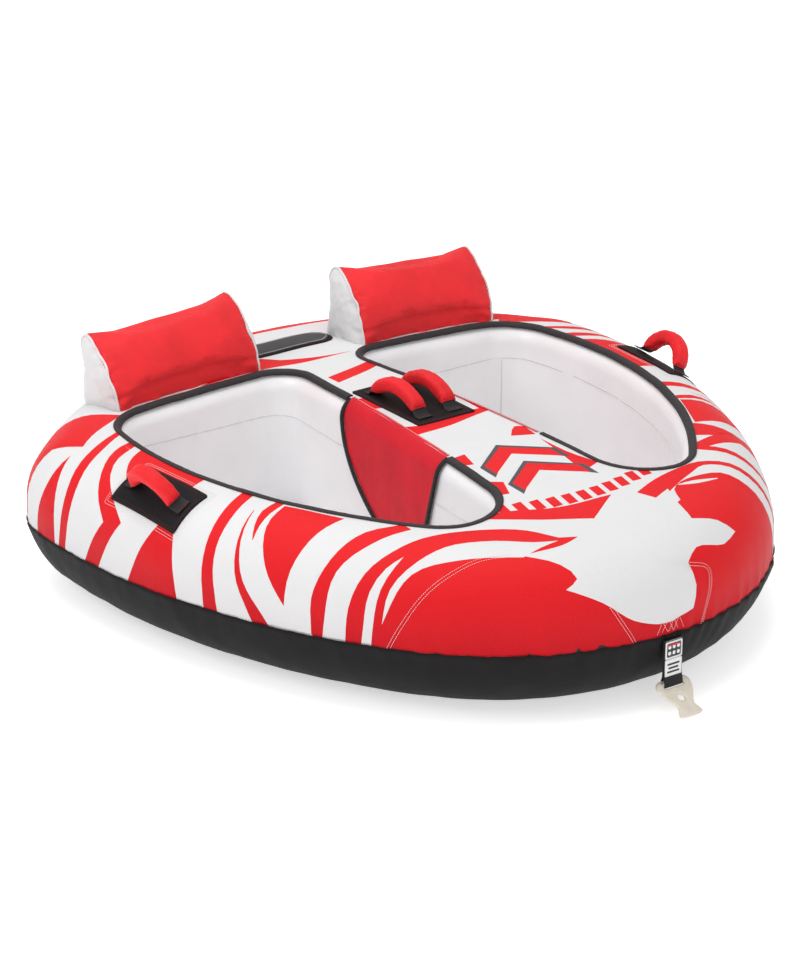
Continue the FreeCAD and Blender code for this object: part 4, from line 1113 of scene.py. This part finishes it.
def rest_place(x, y, z):
    """From the backrest's own upright frame to its tilt over the deck; nothing goes below the deck."""
    dx, dz = x - REST_PIVOT[0], z - REST_PIVOT[1]
    c, s = math.cos(REST_TILT), math.sin(REST_TILT)
    point = np.c_[REST_PIVOT[0] + c * dx + s * dz, y, REST_PIVOT[1] - s * dx + c * dz]
    point[:, 2] = np.maximum(point[:, 2], deck_z(point) - 2.0)
    return point


def rest_across(points):
    """How far along the backrest's width each point in space lies, from its inner seam."""
    c, s = math.cos(REST_TILT), math.sin(REST_TILT)
    dx, dz = points[:, 0] - REST_PIVOT[0], points[:, 2] - REST_PIVOT[1]
    return REST_PIVOT[0] + c * dx - s * dz - REST_INNER


def make_rest():
    """The right backrest as one soft closed form, inflated by cloth simulation."""
    section = rest_section()
    centre = section.mean(0)
    stations = [(REST_INNER - REST_END, 0.30), (REST_INNER - REST_END + 1, 0.72), (REST_INNER - 4, 0.93)]
    stations += [(x, 1.0) for x in np.linspace(REST_INNER, REST_INNER + REST_WIDTH, 40)]
    stations += [(REST_INNER + REST_WIDTH + 4, 0.93), (REST_INNER + REST_WIDTH + REST_END - 1, 0.72),
                 (REST_INNER + REST_WIDTH + REST_END, 0.30)]
    shrink = 0.975
    rows = []
    for x, size in stations:
        ring = centre + (section - centre) * size * shrink
        rows.append(rest_place(np.full(len(ring), x), ring[:, 0], ring[:, 1]))
    count = len(section)
    faces = grid_faces(len(rows), count, close_columns=True)
    faces += [tuple(range(count)), tuple(range((len(rows) - 1) * count, len(rows) * count))[::-1]]
    rest = make("backrest_right", np.vstack(rows), faces, [rest_cloth, gusset_cloth])
    face_outwards(rest)
    apply(rest, "REMESH", mode="VOXEL", voxel_size=0.0055)
    before = np.array([v.co for v in rest.data.vertices]) / MM
    inflate(rest, before, cap=13.0)
    across = rest_across(before)
    after = np.array([v.co for v in rest.data.vertices]) / MM
    normal = np.array([v.normal for v in rest.data.vertices])
    near = np.minimum(np.abs(across + 1), np.abs(across - REST_WIDTH - 1))
    deck = deck_z(before)
    above = before[:, 2] - deck
    for n, point in enumerate(after):
        pucker = noise.noise(Vector((point[1] * 0.07, point[2] * 0.07, point[0] * 0.012)))
        slow = noise.noise(Vector(point * 0.013))
        push = -2.2 * math.exp(-(near[n] / 5.0) ** 2) + 2.8 * pucker * math.exp(-near[n] / 26.0) + 1.8 * slow
        if before[n, 1] < 560 and normal[n][1] < -0.3:
            push -= 4.5 * math.exp(-((above[n] - 27) / 6.5) ** 2)
        after[n] = point + normal[n] * push
    after[:, 2] = np.where(before[:, 2] < deck + 3, before[:, 2], after[:, 2])
    rest.data.vertices.foreach_set("co", (after * MM).ravel())
    mesh = bmesh.new()
    mesh.from_mesh(rest.data)
    valve_x, valve_z = (np.array([part]) for part in REST_VALVE)
    valve = rest_place(valve_x, REST_TOP[:1] + REST_TOP_RADIUS, valve_z)[0]
    under = []
    for face in mesh.faces:
        at = face.calc_center_median() / MM
        if face.normal.y > 0.5 and math.hypot(at.x - valve[0], at.z - valve[2]) < REST_HOLE_RADIUS:
            under.append(face)
    middle = np.array([before[[v.index for v in f.verts]].mean(0) for f in mesh.faces if f not in under])
    bmesh.ops.delete(mesh, geom=under, context="FACES")
    mesh.to_mesh(rest.data)
    mesh.free()
    end = rest_across(middle)
    white = (end < -0.5) | (end > REST_WIDTH + 0.5)
    rest.data.polygons.foreach_set("material_index", white.astype(np.int32))
    rest.data.polygons.foreach_set("use_smooth", np.ones(len(white), bool))
    rest.data.update()
    apply(rest, "SUBSURF", levels=1)
    return rest


def inflate(piece, before, cap):
    """Twenty frames of cloth under light pressure, no point moving further than the cap."""
    modifier = piece.modifiers.new("Cloth", "CLOTH")
    settings = modifier.settings
    settings.use_pressure = True
    settings.uniform_pressure_force = 4.0
    settings.effector_weights.gravity = 0.0
    settings.quality = 5
    settings.tension_stiffness = settings.compression_stiffness = 12.0
    modifier.point_cache.frame_start, modifier.point_cache.frame_end = 1, 20
    scene = bpy.context.scene
    for step in range(1, 21):
        scene.frame_set(step)
        bpy.context.view_layer.update()
    depsgraph = bpy.context.evaluated_depsgraph_get()
    moved = piece.evaluated_get(depsgraph).to_mesh()
    after = np.array([v.co for v in moved.vertices]) / MM
    piece.evaluated_get(depsgraph).to_mesh_clear()
    piece.modifiers.clear()
    scene.frame_set(1)
    step = after - before
    far = np.linalg.norm(step, axis=1)
    step *= (np.minimum(far, cap) / np.maximum(far, 1e-6))[:, None]
    piece.data.vertices.foreach_set("co", ((before + step) * MM).ravel())
    piece.data.update()


def make_rests():
    rest = make_rest()
    surface = BVHTree.FromPolygons([v.co.copy() for v in rest.data.vertices],
                                   [tuple(f.vertices) for f in rest.data.polygons])
    section = rest_section(3.0)
    cords = []
    for x, way in ((REST_INNER - 1, -1), (REST_INNER + REST_WIDTH + 1, 1)):
        seam = rest_place(np.full(len(section), x), section[:, 0], section[:, 1])
        keep = seam[:, 2] > deck_z(seam) - 1
        seam = seam[keep]
        path, outward = [], []
        for point in seam:
            spot, normal, _, _ = surface.find_nearest(Vector(point * MM))
            path.append(np.array(spot) / MM)
            outward.append(np.array(normal))
        path, outward = np.array(path), np.array(outward)
        outward[:, 0] *= 0.4
        outward /= np.linalg.norm(outward, axis=1)[:, None]
        smooth = path.copy()
        for _ in range(6):
            smooth[1:-1] = (smooth[:-2] + smooth[1:-1] * 2 + smooth[2:]) / 4
        cords.append(tube_along("cord", smooth + outward * 1.6, 2.8, piping_cord, 8))
        for n in range(2, len(smooth) - 2, 3):
            tick = smooth[n] + outward[n] * 2.0 + np.array([-way * 3.6, 0, 0])
            along = smooth[n + 1] - smooth[n - 1]
            along /= np.linalg.norm(along)
            line = np.array([tick - along * 1.7, tick, tick + along * 1.7])
            cords.append(tube_along("tick", line, 0.7, thread_dark, 4))
    piping = join("backrest_seams_right", cords)
    for name, pieces in (("right", (rest, piping)),
                         ("left", (flip("backrest_left", rest), flip("backrest_seams_left", piping)))):
        nodes = [f"backrest_{part}_{name}" for part in ("bladder", "wrap", "gusset_inner", "gusset_outer")]
        finished(pieces[0], "tube", nodes)
        finished(pieces[1], "tube", [f"backrest_piping_{name}"])


make_rests()


# ---------------------------------------------------------------- handles

def handle_frame(x, y, degrees):
    """The place on the skin, the way along the grip, the way across it and the way out."""
    at, out = skin(chart_of(x, y), 0, folds=False)
    point, out = at[0], out[0]
    along = np.array([math.cos(math.radians(degrees)), math.sin(math.radians(degrees)), 0.0])
    across = np.cross(out, along)
    across /= np.linalg.norm(across)
    return point, np.cross(across, out), across, out


def handle_space(where, points):
    point, along, across, out = where
    points = np.atleast_2d(points)
    return point + points[:, :1] * along + points[:, 1:2] * across + points[:, 2:3] * out


# arch radius, height and half angle of the sleeve, and where its straps are sewn down
SIDE_ARCH = (65.0, 63.0, math.radians(76), 78.0)
CENTRE_ARCH = (121.0, 46.0, math.radians(41), 92.0)


def make_grip(name, where, arch, seed):
    """A padded cloth sleeve: flat pinched ends, a crease along its top and small wrinkles."""
    rows, around = 54, 40
    arch_radius, arch_height, half_angle, _ = arch
    points = []
    for i in range(rows):
        share = 2 * i / (rows - 1) - 1
        turn = share * half_angle
        to_end = 1 - abs(share)
        full = 1 - math.exp(-to_end / 0.09)
        wide = 18.5 + 1.8 * math.exp(-to_end / 0.07)
        thick = 5.5 + 11.5 * full
        if i in (0, rows - 1):
            thick, wide = thick * 0.72, wide * 0.97
        for j in range(around):
            angle = 2 * math.pi * j / around
            c, s = math.cos(angle), math.sin(angle)
            across = wide * math.copysign(abs(c) ** 0.72, c)
            rise = thick * math.copysign(abs(s) ** 0.72, s)
            wrinkle = noise.noise(Vector((share * 9 + seed, c * 1.6, s * 1.6))) * 1.5
            wrinkle += noise.noise(Vector((share * 26 + seed, c * 2.2, s * 2.2))) * 0.7
            if s > 0:
                wrinkle -= 1.6 * math.exp(-(across / 2.4) ** 2)
            radius = arch_radius + rise + wrinkle * math.copysign(1.0, s)
            points.append((radius * math.sin(turn), across + 0.5 * wrinkle,
                           arch_height - arch_radius + radius * math.cos(turn)))
    faces = grid_faces(rows, around, close_columns=True)
    faces += [tuple(range(around)), tuple(range((rows - 1) * around, rows * around))[::-1]]
    grip = make(name, handle_space(where, points), faces, grip_cloth)
    grip.data.flip_normals()
    seams = []
    for side in (-1, 1):
        for end in (-1, 1):
            row = []
            turn = end * half_angle * 0.93
            radius = arch_radius + side * 9.5
            rise = arch_height - arch_radius + radius * math.cos(turn)
            for across in np.linspace(-16, 16, 12):
                row.append((radius * math.sin(turn), across, rise))
            seams.append(tube_along("seam", handle_space(where, row), 0.8, thread_dark, 5))
    return join(name, [apply(grip, "SUBSURF", levels=1)] + seams)


def make_straps(name, where, arch):
    """The two ends of the handle's webbing: flat on the patch, then up into the sleeve."""
    pieces = []
    arch_radius, arch_height, half_angle, reach = arch
    for way in (-1, 1):
        path = [(way * (reach + 16), 3.9), (way * (reach + 8), 4.1), (way * (reach - 2), 4.6)]
        for turn in (1.0, 0.9, 0.8):
            path.append((way * arch_radius * math.sin(half_angle * turn),
                         arch_height - arch_radius + arch_radius * math.cos(half_angle * turn)))
        path = spline(path, 3.0)
        rows = []
        profile = [(-19, -0.9), (-19, 0.9), (-17.6, 1.3), (0, 1.5), (17.6, 1.3), (19, 0.9), (19, -0.9)]
        for across, lift in profile:
            normal = sideways(path) * -way
            shifted = path + normal * lift
            narrow = 1 - 0.14 * np.clip((path[:, 1] - 8) / 24, 0, 1)
            rows.append(handle_space(where, np.c_[shifted[:, 0], across * narrow, shifted[:, 1]]))
        pieces.append(make("strap", np.vstack(rows), grid_faces(len(rows), len(path), close_rows=True),
                           handle_webbing))
    return join(name, pieces)


def anchor_stitches(name, where, reach, lift):
    """A box of thread with a cross in it, where each strap end is sewn down."""
    rows = []

    def place(line, height):
        return handle_space(where, np.c_[line, np.full(len(line), height)])

    for way in (-1, 1):
        near, far = way * (reach - 3), way * (reach + 13)
        corners = [(near, -15), (far, -15), (far, 15), (near, 15), (near, -15), (far, 15)]
        for a, b in zip(corners[:-1], corners[1:]):
            rows.append(stitches("box", [a, b], thread_dark, lift, 3.6, long=2.6, wide=0.9, lift=place))
        rows.append(stitches("box", [(near, 15), (far, -15)], thread_dark, lift, 3.6,
                             long=2.6, wide=0.9, lift=place))
    return join(name, rows)


SIDE_PLACE, SIDE_HEADING = (714.0, 86.0), 86.0
CENTRE_PLACE = (42.0, 118.0)
handles = (("", handle_frame(*SIDE_PLACE, SIDE_HEADING), SIDE_ARCH, 1.0),
           ("centre_", handle_frame(*CENTRE_PLACE, 90), CENTRE_ARCH, 31.0))
for label, where, arch, seed in handles:
    grip = make_grip(f"grip_{label}right", where, arch, seed)
    straps = make_straps(f"grip_straps_{label}right", where, arch)
    box = anchor_stitches(f"anchor_stitches_{label}right", where, arch[3], 5.3)
    sides = {"right": (grip, straps, box),
             "left": [flip(piece.name.replace("right", "left"), piece) for piece in (grip, straps, box)]}
    for side, (sleeve, strap, sewn) in sides.items():
        body = f"handle_{label}{side}"
        finished(sleeve, body, [f"handle_grip_{label}{side}"])
        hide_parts(f"handle_webbing_{label}{side}", f"handle_anchor_{label}{side}")
        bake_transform(strap)
        finished(sewn, "tube")


def make_patches():
    """Black reinforcement cloth under the handles, with two rows of thread round it."""
    def patch(name, centre, long, wide, turn, margins):
        """One patch with dark rows inside its edge and, by the margins, white rows outside it."""
        bits = [panel(name, dense(rectangle(centre, long, wide, turn)), 3.0, patch_cloth)]
        for grow, thread, lift in [(-4.0, thread_dark, 3.1), (-9.0, thread_dark, 3.1)] + [
                (margin, thread_white, 0.7) for margin in margins]:
            line = dense(rectangle(centre, long + 2 * grow, wide + 2 * grow, turn), 5)
            bits.append(stitches("edge", line, thread, lift, 5.0, closed=True))
        return join(name, bits)

    right = patch("handle_pad_right", chart_of(*SIDE_PLACE), 220.0, 116.0, SIDE_HEADING, (7.0, 13.0))
    left = flip("handle_pad_left", right)
    centre = patch("handle_pad_centre", (0.0, CENTRE_PLACE[1]), 262.0, 160.0, 90, ())
    for name, piece in (("right", right), ("left", left), ("centre", centre)):
        finished(piece, "tube", [f"handle_patch_{name}"])


make_patches()


# ---------------------------------------------------------------- sewing on the cover

def make_cover_sewing():
    """Double rows of white thread on the bow's panels, a few short rows at the bow, and a row of dark thread
    along the seam.
    """
    bow_left = [(-669, -606), (-585, -594), (-500, -587), (-430, -590), (-358, -600), (-297, -626)]
    bow_right = [(102, -944), (118, -892), (125, -815), (75, -799), (20, -784)]
    tab_left = [(-112, -937), (-146, -866), (-160, -830)]
    rows = []
    for line in (bow_left, bow_right, tab_left):
        smooth = spline(line, 6.0)
        for shift in (-3.5, 3.5):
            rows.append(stitches("row", smooth + sideways(smooth) * shift, thread_white, 0.6))
    for way in (-1, 1):
        for n in range(4):
            a = np.array([-30.0 + 18 * n, -905.0])
            rows.append(stitches("row", [a, a + np.array([way * 16.0, -26.0])], thread_white, 0.6))
    finished(join("cover_sewing", rows), "tube")
    seam = ring_at(SEAM_Z + 7)
    finished(stitches("seam_sewing", seam, thread_dark, 0.8, 6.0, closed=True), "tube")


make_cover_sewing()


def make_bottom():
    """The black bottom: one flat cloth with slight waves."""
    rim = HULL_EDGE - HULL_OUT * 154.0
    flat, faces = fill([rim], 34.0)
    z = np.array([1.6 + 1.4 * noise.noise(Vector((x * 0.008, y * 0.008, 0.5))) for x, y in flat])
    skirt_foot = ring_at(4)
    foot = skin(skirt_foot, 0)[0]
    count, start = len(rim), len(flat)
    bottom = [(start + n, n, (n + 1) % count, start + (n + 1) % count) for n in range(count)]
    piece = make("bottom_cloth", np.vstack([np.c_[flat, z], foot]), [tuple(f)[::-1] for f in faces] + bottom,
                 base_cloth)
    finished(piece, "tube", ["base_panel"])


make_bottom()


# ---------------------------------------------------------------- tow gear

STRAP_Y, STRAP_TOP, STRAP_EYE_Z = -815.1, 161.0, 57.0


def make_tow_tab():
    """A half-round black tab sewn over the seam at the bow."""
    top, low = ring_at(SEAM_Z + 5)[0][1], ring_at(SEAM_Z - 14)[0][1]
    ring = [(-32, top), (32, top), (32, low)]
    ring += [(32 * math.cos(a), low - 26 * math.sin(a)) for a in np.linspace(0, math.pi, 24)[1:]]
    loop = dense(np.array(ring), 4)
    tab = [panel("tab", loop, 3.2, patch_cloth, pitch=6.0)]
    arc = [(26 * math.cos(a), low - 20 * math.sin(a)) for a in np.linspace(0, math.pi, 24)]
    tab.append(stitches("arc", arc, thread_dark, 3.3, 4.4))
    finished(join("tow_tab_cloth", tab), "tube", ["tow_tab"])


def make_tow_strap():
    """Doubled webbing: down, round the connector's bar, and back up."""
    front, back = STRAP_Y - 1.7, STRAP_Y + 1.7
    path = [(front, STRAP_TOP), (front, STRAP_TOP - 30), (front - 0.3, 90), (front - 1.4, 74),
            (front - 4.6, 64)]
    for angle in np.linspace(math.radians(170), math.radians(370), 12):
        path.append((STRAP_Y + 7.0 * math.cos(angle), STRAP_EYE_Z + 7.0 * math.sin(angle)))
    path += [(back + 4.6, 64), (back + 1.4, 74), (back + 0.3, 90), (back, STRAP_TOP - 30), (back, STRAP_TOP)]
    path = spline(path, 3.0)
    normal = sideways(path)
    rows = []
    for across, lift in ((-25, -0.8), (-25, 0.8), (-23.5, 1.2), (0, 1.25), (23.5, 1.2), (25, 0.8), (25, -0.8),
                         (23.5, -1.2), (0, -1.25), (-23.5, -1.2)):
        shifted = path + normal * lift
        rows.append(np.c_[np.full(len(path), across), shifted])
    strap = make("strap", np.vstack(rows), grid_faces(len(rows), len(path), close_rows=True), black_webbing)

    def place(line, height):
        return np.c_[line[:, 0], np.full(len(line), front - 1.2 - height), line[:, 1]]

    sewn = [strap]
    for z in (73.0, 156.5):
        for shift in (0, 3.0):
            sewn.append(stitches("row", [(-20, z + shift), (20, z + shift)], thread_white, 0.1, 3.4,
                                 long=2.4, wide=0.8, lift=place))
    finished(join("tow_strap_webbing", sewn), "tow_strap", ["tow_strap"])

    labels = {"strap_label_upper": (117.0, 157.0), "strap_label_lower": (75.0, 116.0)}
    for node_name, (low, high) in labels.items():
        loop = dense(rectangle((0, (low + high) / 2), 46, high - low, 0, 2.0), 3)
        bits = [panel("label", loop, 1.0, label_cloth, pitch=5.0, lift=place)]
        inner = rectangle((0, (low + high) / 2), 38, high - low - 8, 0, 1.5)
        if node_name.endswith("upper"):
            bits.append(panel("field", dense(inner, 3), 1.2, label_ink, 0.2, 5.0, place))
            for n in range(2):
                for m in range(3):
                    spot = rectangle((-12 + 12 * m, low + 13 + 14 * n), 8, 9, 0, 3.5)
                    bits.append(panel("mark", dense(spot, 1.5), 1.4, label_cloth, 0.2, 4.0, place))
            stripe = dense(rectangle((0, high - 8), 34, 4, 0, 1), 2)
            bits.append(panel("stripe", stripe, 1.4, label_red, 0.2, 4.0, place))
        else:
            for n in range(3):
                bar = rectangle((0, low + 11 + 9 * n), 34 - 6 * (n % 2), 4.5, 0, 1.5)
                bits.append(panel("bar", dense(bar, 2), 1.3, label_ink, 0.3, 4.0, place))
        edge = dense(rectangle((0, (low + high) / 2), 42.5, high - low - 3.5, 0, 1.5), 3)
        bits.append(stitches("edge", edge, thread_white, 1.1, 2.8, closed=True,
                             long=1.9, wide=0.7, lift=place))
        finished(join(node_name + "_cloth", bits), "tow_strap", [node_name])


make_tow_tab()
make_tow_strap()


def make_connector():
    """Moulded quick connector: rounded head with a slot for the strap, a hole, a waist and a flared foot."""
    half = [(0, 9), (22, 9), (37, 7), (45, -4), (43, -20), (33, -40), (23.5, -56), (22.5, -64), (28, -74),
            (30.5, -83)]
    side = spline(half, 3.0)
    foot = np.array([(26.0, -86.5), (0.0, -87.5)])
    right = np.vstack([side, foot])
    outline = np.vstack([right, (right * [-1, 1])[-2:0:-1]])
    angle = np.linspace(0, 2 * math.pi, 28, endpoint=False)
    hole = np.c_[9 * np.cos(angle), -40 + 9 * np.sin(angle)]
    slot = rectangle((0, -3.5), 54, 17, 0, 3.0)
    loops = [evenly(loop, 2.5, closed=True) for loop in (outline, slot, hole)]
    flat, faces = fill(loops, 5.0)
    middle = flat[faces].mean(1)
    good = inside(middle, loops[0]) & ~inside(middle, loops[1]) & ~inside(middle, loops[2])
    faces = faces[good]
    gap = gap_to(loops, flat)
    thick = 2.6 + 1.6 * np.sqrt(np.clip(1 - (1 - np.clip(gap / 4.0, 0, 1)) ** 2, 0, 1))
    rib = 0.9 * np.exp(-((np.hypot(flat[:, 0], flat[:, 1] + 40) - 14) / 1.6) ** 2)
    count = len(flat)
    points = np.vstack([np.c_[flat, thick + rib], np.c_[flat, -thick - rib]])
    sides = [tuple(f) for f in faces] + [tuple(count + f[::-1]) for f in faces]
    for loop in loops:
        near = [int(np.argmin(np.hypot(*(flat - point).T))) for point in loop]
        sides += [(near[n], near[n] + count, near[(n + 1) % len(loop)] + count, near[(n + 1) % len(loop)])
                  for n in range(len(loop))]
    bar = np.array([(x, 0.0, 0.0) for x in np.linspace(-29, 29, 12)])
    plate = make("plate", points, sides, ivory)
    face_outwards(plate)
    whole = join("quick_connector", [plate, tube_along("bar", bar, 4.6, ivory, 16)])
    lean = Matrix.Rotation(math.radians(35), 4, "X")
    whole.data.transform(Matrix.Translation(Vector((0, STRAP_Y, STRAP_EYE_Z)) * MM) @ lean)
    finished(whole, "tow_connector", ["tow_connector"])


make_connector()


# ---------------------------------------------------------------- valve, zipper and kept hardware

def flap_loop(long, wide, tip):
    """A long flap, pointed at its right end and notched at its left."""
    half, side = long / 2, wide / 2
    right = [(half - tip, side), (half - 8, side * 0.45), (half, 0), (half - 8, -side * 0.45),
             (half - tip, -side)]
    left = [(-half + tip * 0.6, -side), (-half + 4, -side * 0.66), (-half + tip * 0.34, 0),
            (-half + 4, side * 0.66), (-half + tip * 0.6, side)]
    return evenly(np.array(right + left), 5.0, closed=True)


def make_valve_cloth():
    centre = VALVE_AT
    angle = np.linspace(0, 2 * math.pi, 36, endpoint=False)
    hole = centre + VALVE_HOLE_RADIUS * np.c_[np.cos(angle), np.sin(angle)]
    loop = dense(rectangle(centre, 264, 94, 0, 40), 5)
    flat, faces = fill([loop, hole], 8.0)
    middle = flat[faces].mean(1)
    faces = faces[~inside(middle, hole)]
    top = on_skin(flat, 2.6)
    low = on_skin(loop, 0.1)
    count, start = len(loop), len(flat)
    rim = turned_down(count, start)
    patch = make("patch", np.vstack([top, low]), [tuple(f) for f in faces] + rim, patch_cloth)
    edge = dense(rectangle(centre, 254, 84, 0, 36), 4)
    ring = centre + np.c_[36 * np.cos(angle), 36 * np.sin(angle)]
    sewn = [stitches("edge", edge, thread_dark, 2.7, 4.6, closed=True),
            stitches("ring", ring, thread_dark, 2.7, 4.0, closed=True)]
    finished(join("valve_patch_cloth", [patch] + sewn), "tube", ["valve_patch"])

    shape = centre + flap_loop(258, 80, 34)
    flat, faces = fill([shape], 8.0)
    arch = 2.2 * np.exp(-((flat[:, 0]) / 90) ** 2) * np.cos((flat[:, 1] - VALVE_AT[1]) / 80 * math.pi * 0.9)
    top = on_skin(flat, 4.6 + arch)
    count, start = len(shape), len(flat)
    low = on_skin(shape, 3.4)
    rim = turned_down(count, start)
    flap = make("valve_flap_cloth", np.vstack([top, low]), [tuple(f) for f in faces] + rim, flap_grey)
    line = centre + (shape - centre) * np.array([0.955, 0.88])
    sewing = stitches("valve_flap_sewing", line, thread_white, 5.4, 4.6, closed=True)
    finished(flap, "valve_flap", ["valve_flap"])
    finished(sewing, "valve_flap")


def make_zipper():
    """Tape round the stern with rows of thread, and moulded teeth."""
    first = ring_at(200.0)
    behind = np.flatnonzero((np.abs(first[:, 0]) < 300) & (first[:, 1] > 0))
    line = first[behind]
    line = evenly(line[np.argsort(line[:, 0])], 6.0)
    tape = band("tape", line, 24.0, zip_cloth, 1.6)
    cord_rows = []
    for shift in (-10.0, 10.0):
        cord_rows.append(stitches("row", line + sideways(line) * shift, thread_dark, 1.7, 5.0))
    finished(join("zipper_band", [tape] + cord_rows), "tube", ["zipper_tape"])
    spots = evenly(line[np.abs(line[:, 0]) < 282], 3.0)
    rows, faces = [], []
    along = np.gradient(spots, axis=0)
    along /= np.linalg.norm(along, axis=1)[:, None]
    across = np.c_[-along[:, 1], along[:, 0]]
    corners = [(a, b, c) for c in (1.2, 3.4) for a, b in ((-0.95, -1), (0.95, -1), (0.95, 1), (-0.95, 1))]
    for a, b, c in corners:
        grow = 2.4 if c < 2 else 2.0
        stagger = np.where(np.arange(len(spots)) % 2 == 0, 0.7, -0.7)[:, None]
        rows.append(on_skin(spots + along * a + across * (b * grow + stagger), c))
    points = np.stack(rows, 1).reshape(-1, 3)
    for n in range(len(spots)):
        k = n * 8
        faces += [(k + 4, k + 5, k + 6, k + 7)]
        faces += [(k + m, k + (m + 1) % 4, k + 4 + (m + 1) % 4, k + 4 + m) for m in range(4)]
    teeth = make("zipper_teeth_row", points, faces, teeth_plastic, smooth=False)
    finished(teeth, "tube", ["zipper_teeth"])


make_valve_cloth()
make_zipper()

KEPT = {
    "tow_harness": black_webbing, "valve_base": valve_plastic, "valve_cap": cap_plastic,
    "backrest_valve_base_left": valve_plastic, "backrest_valve_base_right": valve_plastic,
    "backrest_valve_cap_left": cap_plastic, "backrest_valve_cap_right": cap_plastic,
    "zipper_slider": zip_metal, "zipper_pull": zip_metal,
}
for node_name, material in KEPT.items():
    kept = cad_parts[node_name]
    for slot in kept.material_slots:
        slot.material = material
    if not kept.material_slots:
        kept.data.materials.append(material)


# ---------------------------------------------------------------- camera, light and floor

def add_light(name, energy, size_m, position, aim):
    data = bpy.data.lights.new(name, "AREA")
    data.energy = energy
    data.shape = "DISK"
    data.size = size_m
    lamp = bpy.data.objects.new(name, data)
    lamp.location = position
    lamp.rotation_euler = (Vector(aim) - Vector(position)).to_track_quat("-Z", "Y").to_euler()
    bpy.context.scene.collection.objects.link(lamp)


LENS_MM, SENSOR_MM, LENS_SHIFT = 166.9, 36.0, (-0.0066, -0.0040)
CAMERA_AT = (-4.727, -6.228, 3.447)
CAMERA_RIGHT, CAMERA_UP = (0.8051, -0.5931, 0.008), (0.2193, 0.3101, 0.9251)
CAMERA_FORWARD = (0.5511, 0.7430, -0.3797)
ROOM_LIGHT, FLOOR_GLOW = 0.58, 0.55
# name, watts, size, place and aim in metres
LAMPS = (("top", 150, 5.0, (-0.6, 0.6, 5.5), (0, 0, 0.3)),
         ("key", 72, 3.0, (-5.0, 0.5, 4.2), (0, 0, 0.3)),
         ("front", 62, 3.5, (-2.0, -6.5, 2.4), (0, 0, 0.2)))


def set_stage():
    scene = bpy.context.scene
    scene.view_settings.view_transform = "Standard"
    camera_data = bpy.data.cameras.new("camera")
    camera_data.sensor_fit = "HORIZONTAL"
    camera_data.sensor_width = SENSOR_MM
    camera_data.lens = LENS_MM
    camera_data.clip_end = 100.0
    camera_data.shift_x, camera_data.shift_y = LENS_SHIFT
    camera = bpy.data.objects.new("camera", camera_data)
    turn = Matrix((CAMERA_RIGHT, CAMERA_UP, -Vector(CAMERA_FORWARD))).transposed().to_4x4()
    camera.matrix_world = Matrix.Translation(CAMERA_AT) @ turn
    scene.collection.objects.link(camera)
    scene.camera = camera

    world = bpy.data.worlds.new("studio")
    scene.world = world
    world.use_nodes = True
    background = world.node_tree.nodes["Background"]
    background.inputs["Color"].default_value = (1.0, 1.0, 1.0, 1.0)
    background.inputs["Strength"].default_value = ROOM_LIGHT
    for lamp in LAMPS:
        add_light(*lamp)

    bpy.ops.mesh.primitive_plane_add(size=60, location=(0, 0, 0))
    floor = bpy.context.active_object
    floor.name = "floor"
    material, _, _, surface = shader("floor_paint", 0.9, specular=0.1)
    surface.inputs["Base Color"].default_value = (0.94, 0.94, 0.94, 1)
    surface.inputs["Emission Color"].default_value = (1, 1, 1, 1)
    surface.inputs["Emission Strength"].default_value = FLOOR_GLOW
    floor.data.materials.append(material)


set_stage()
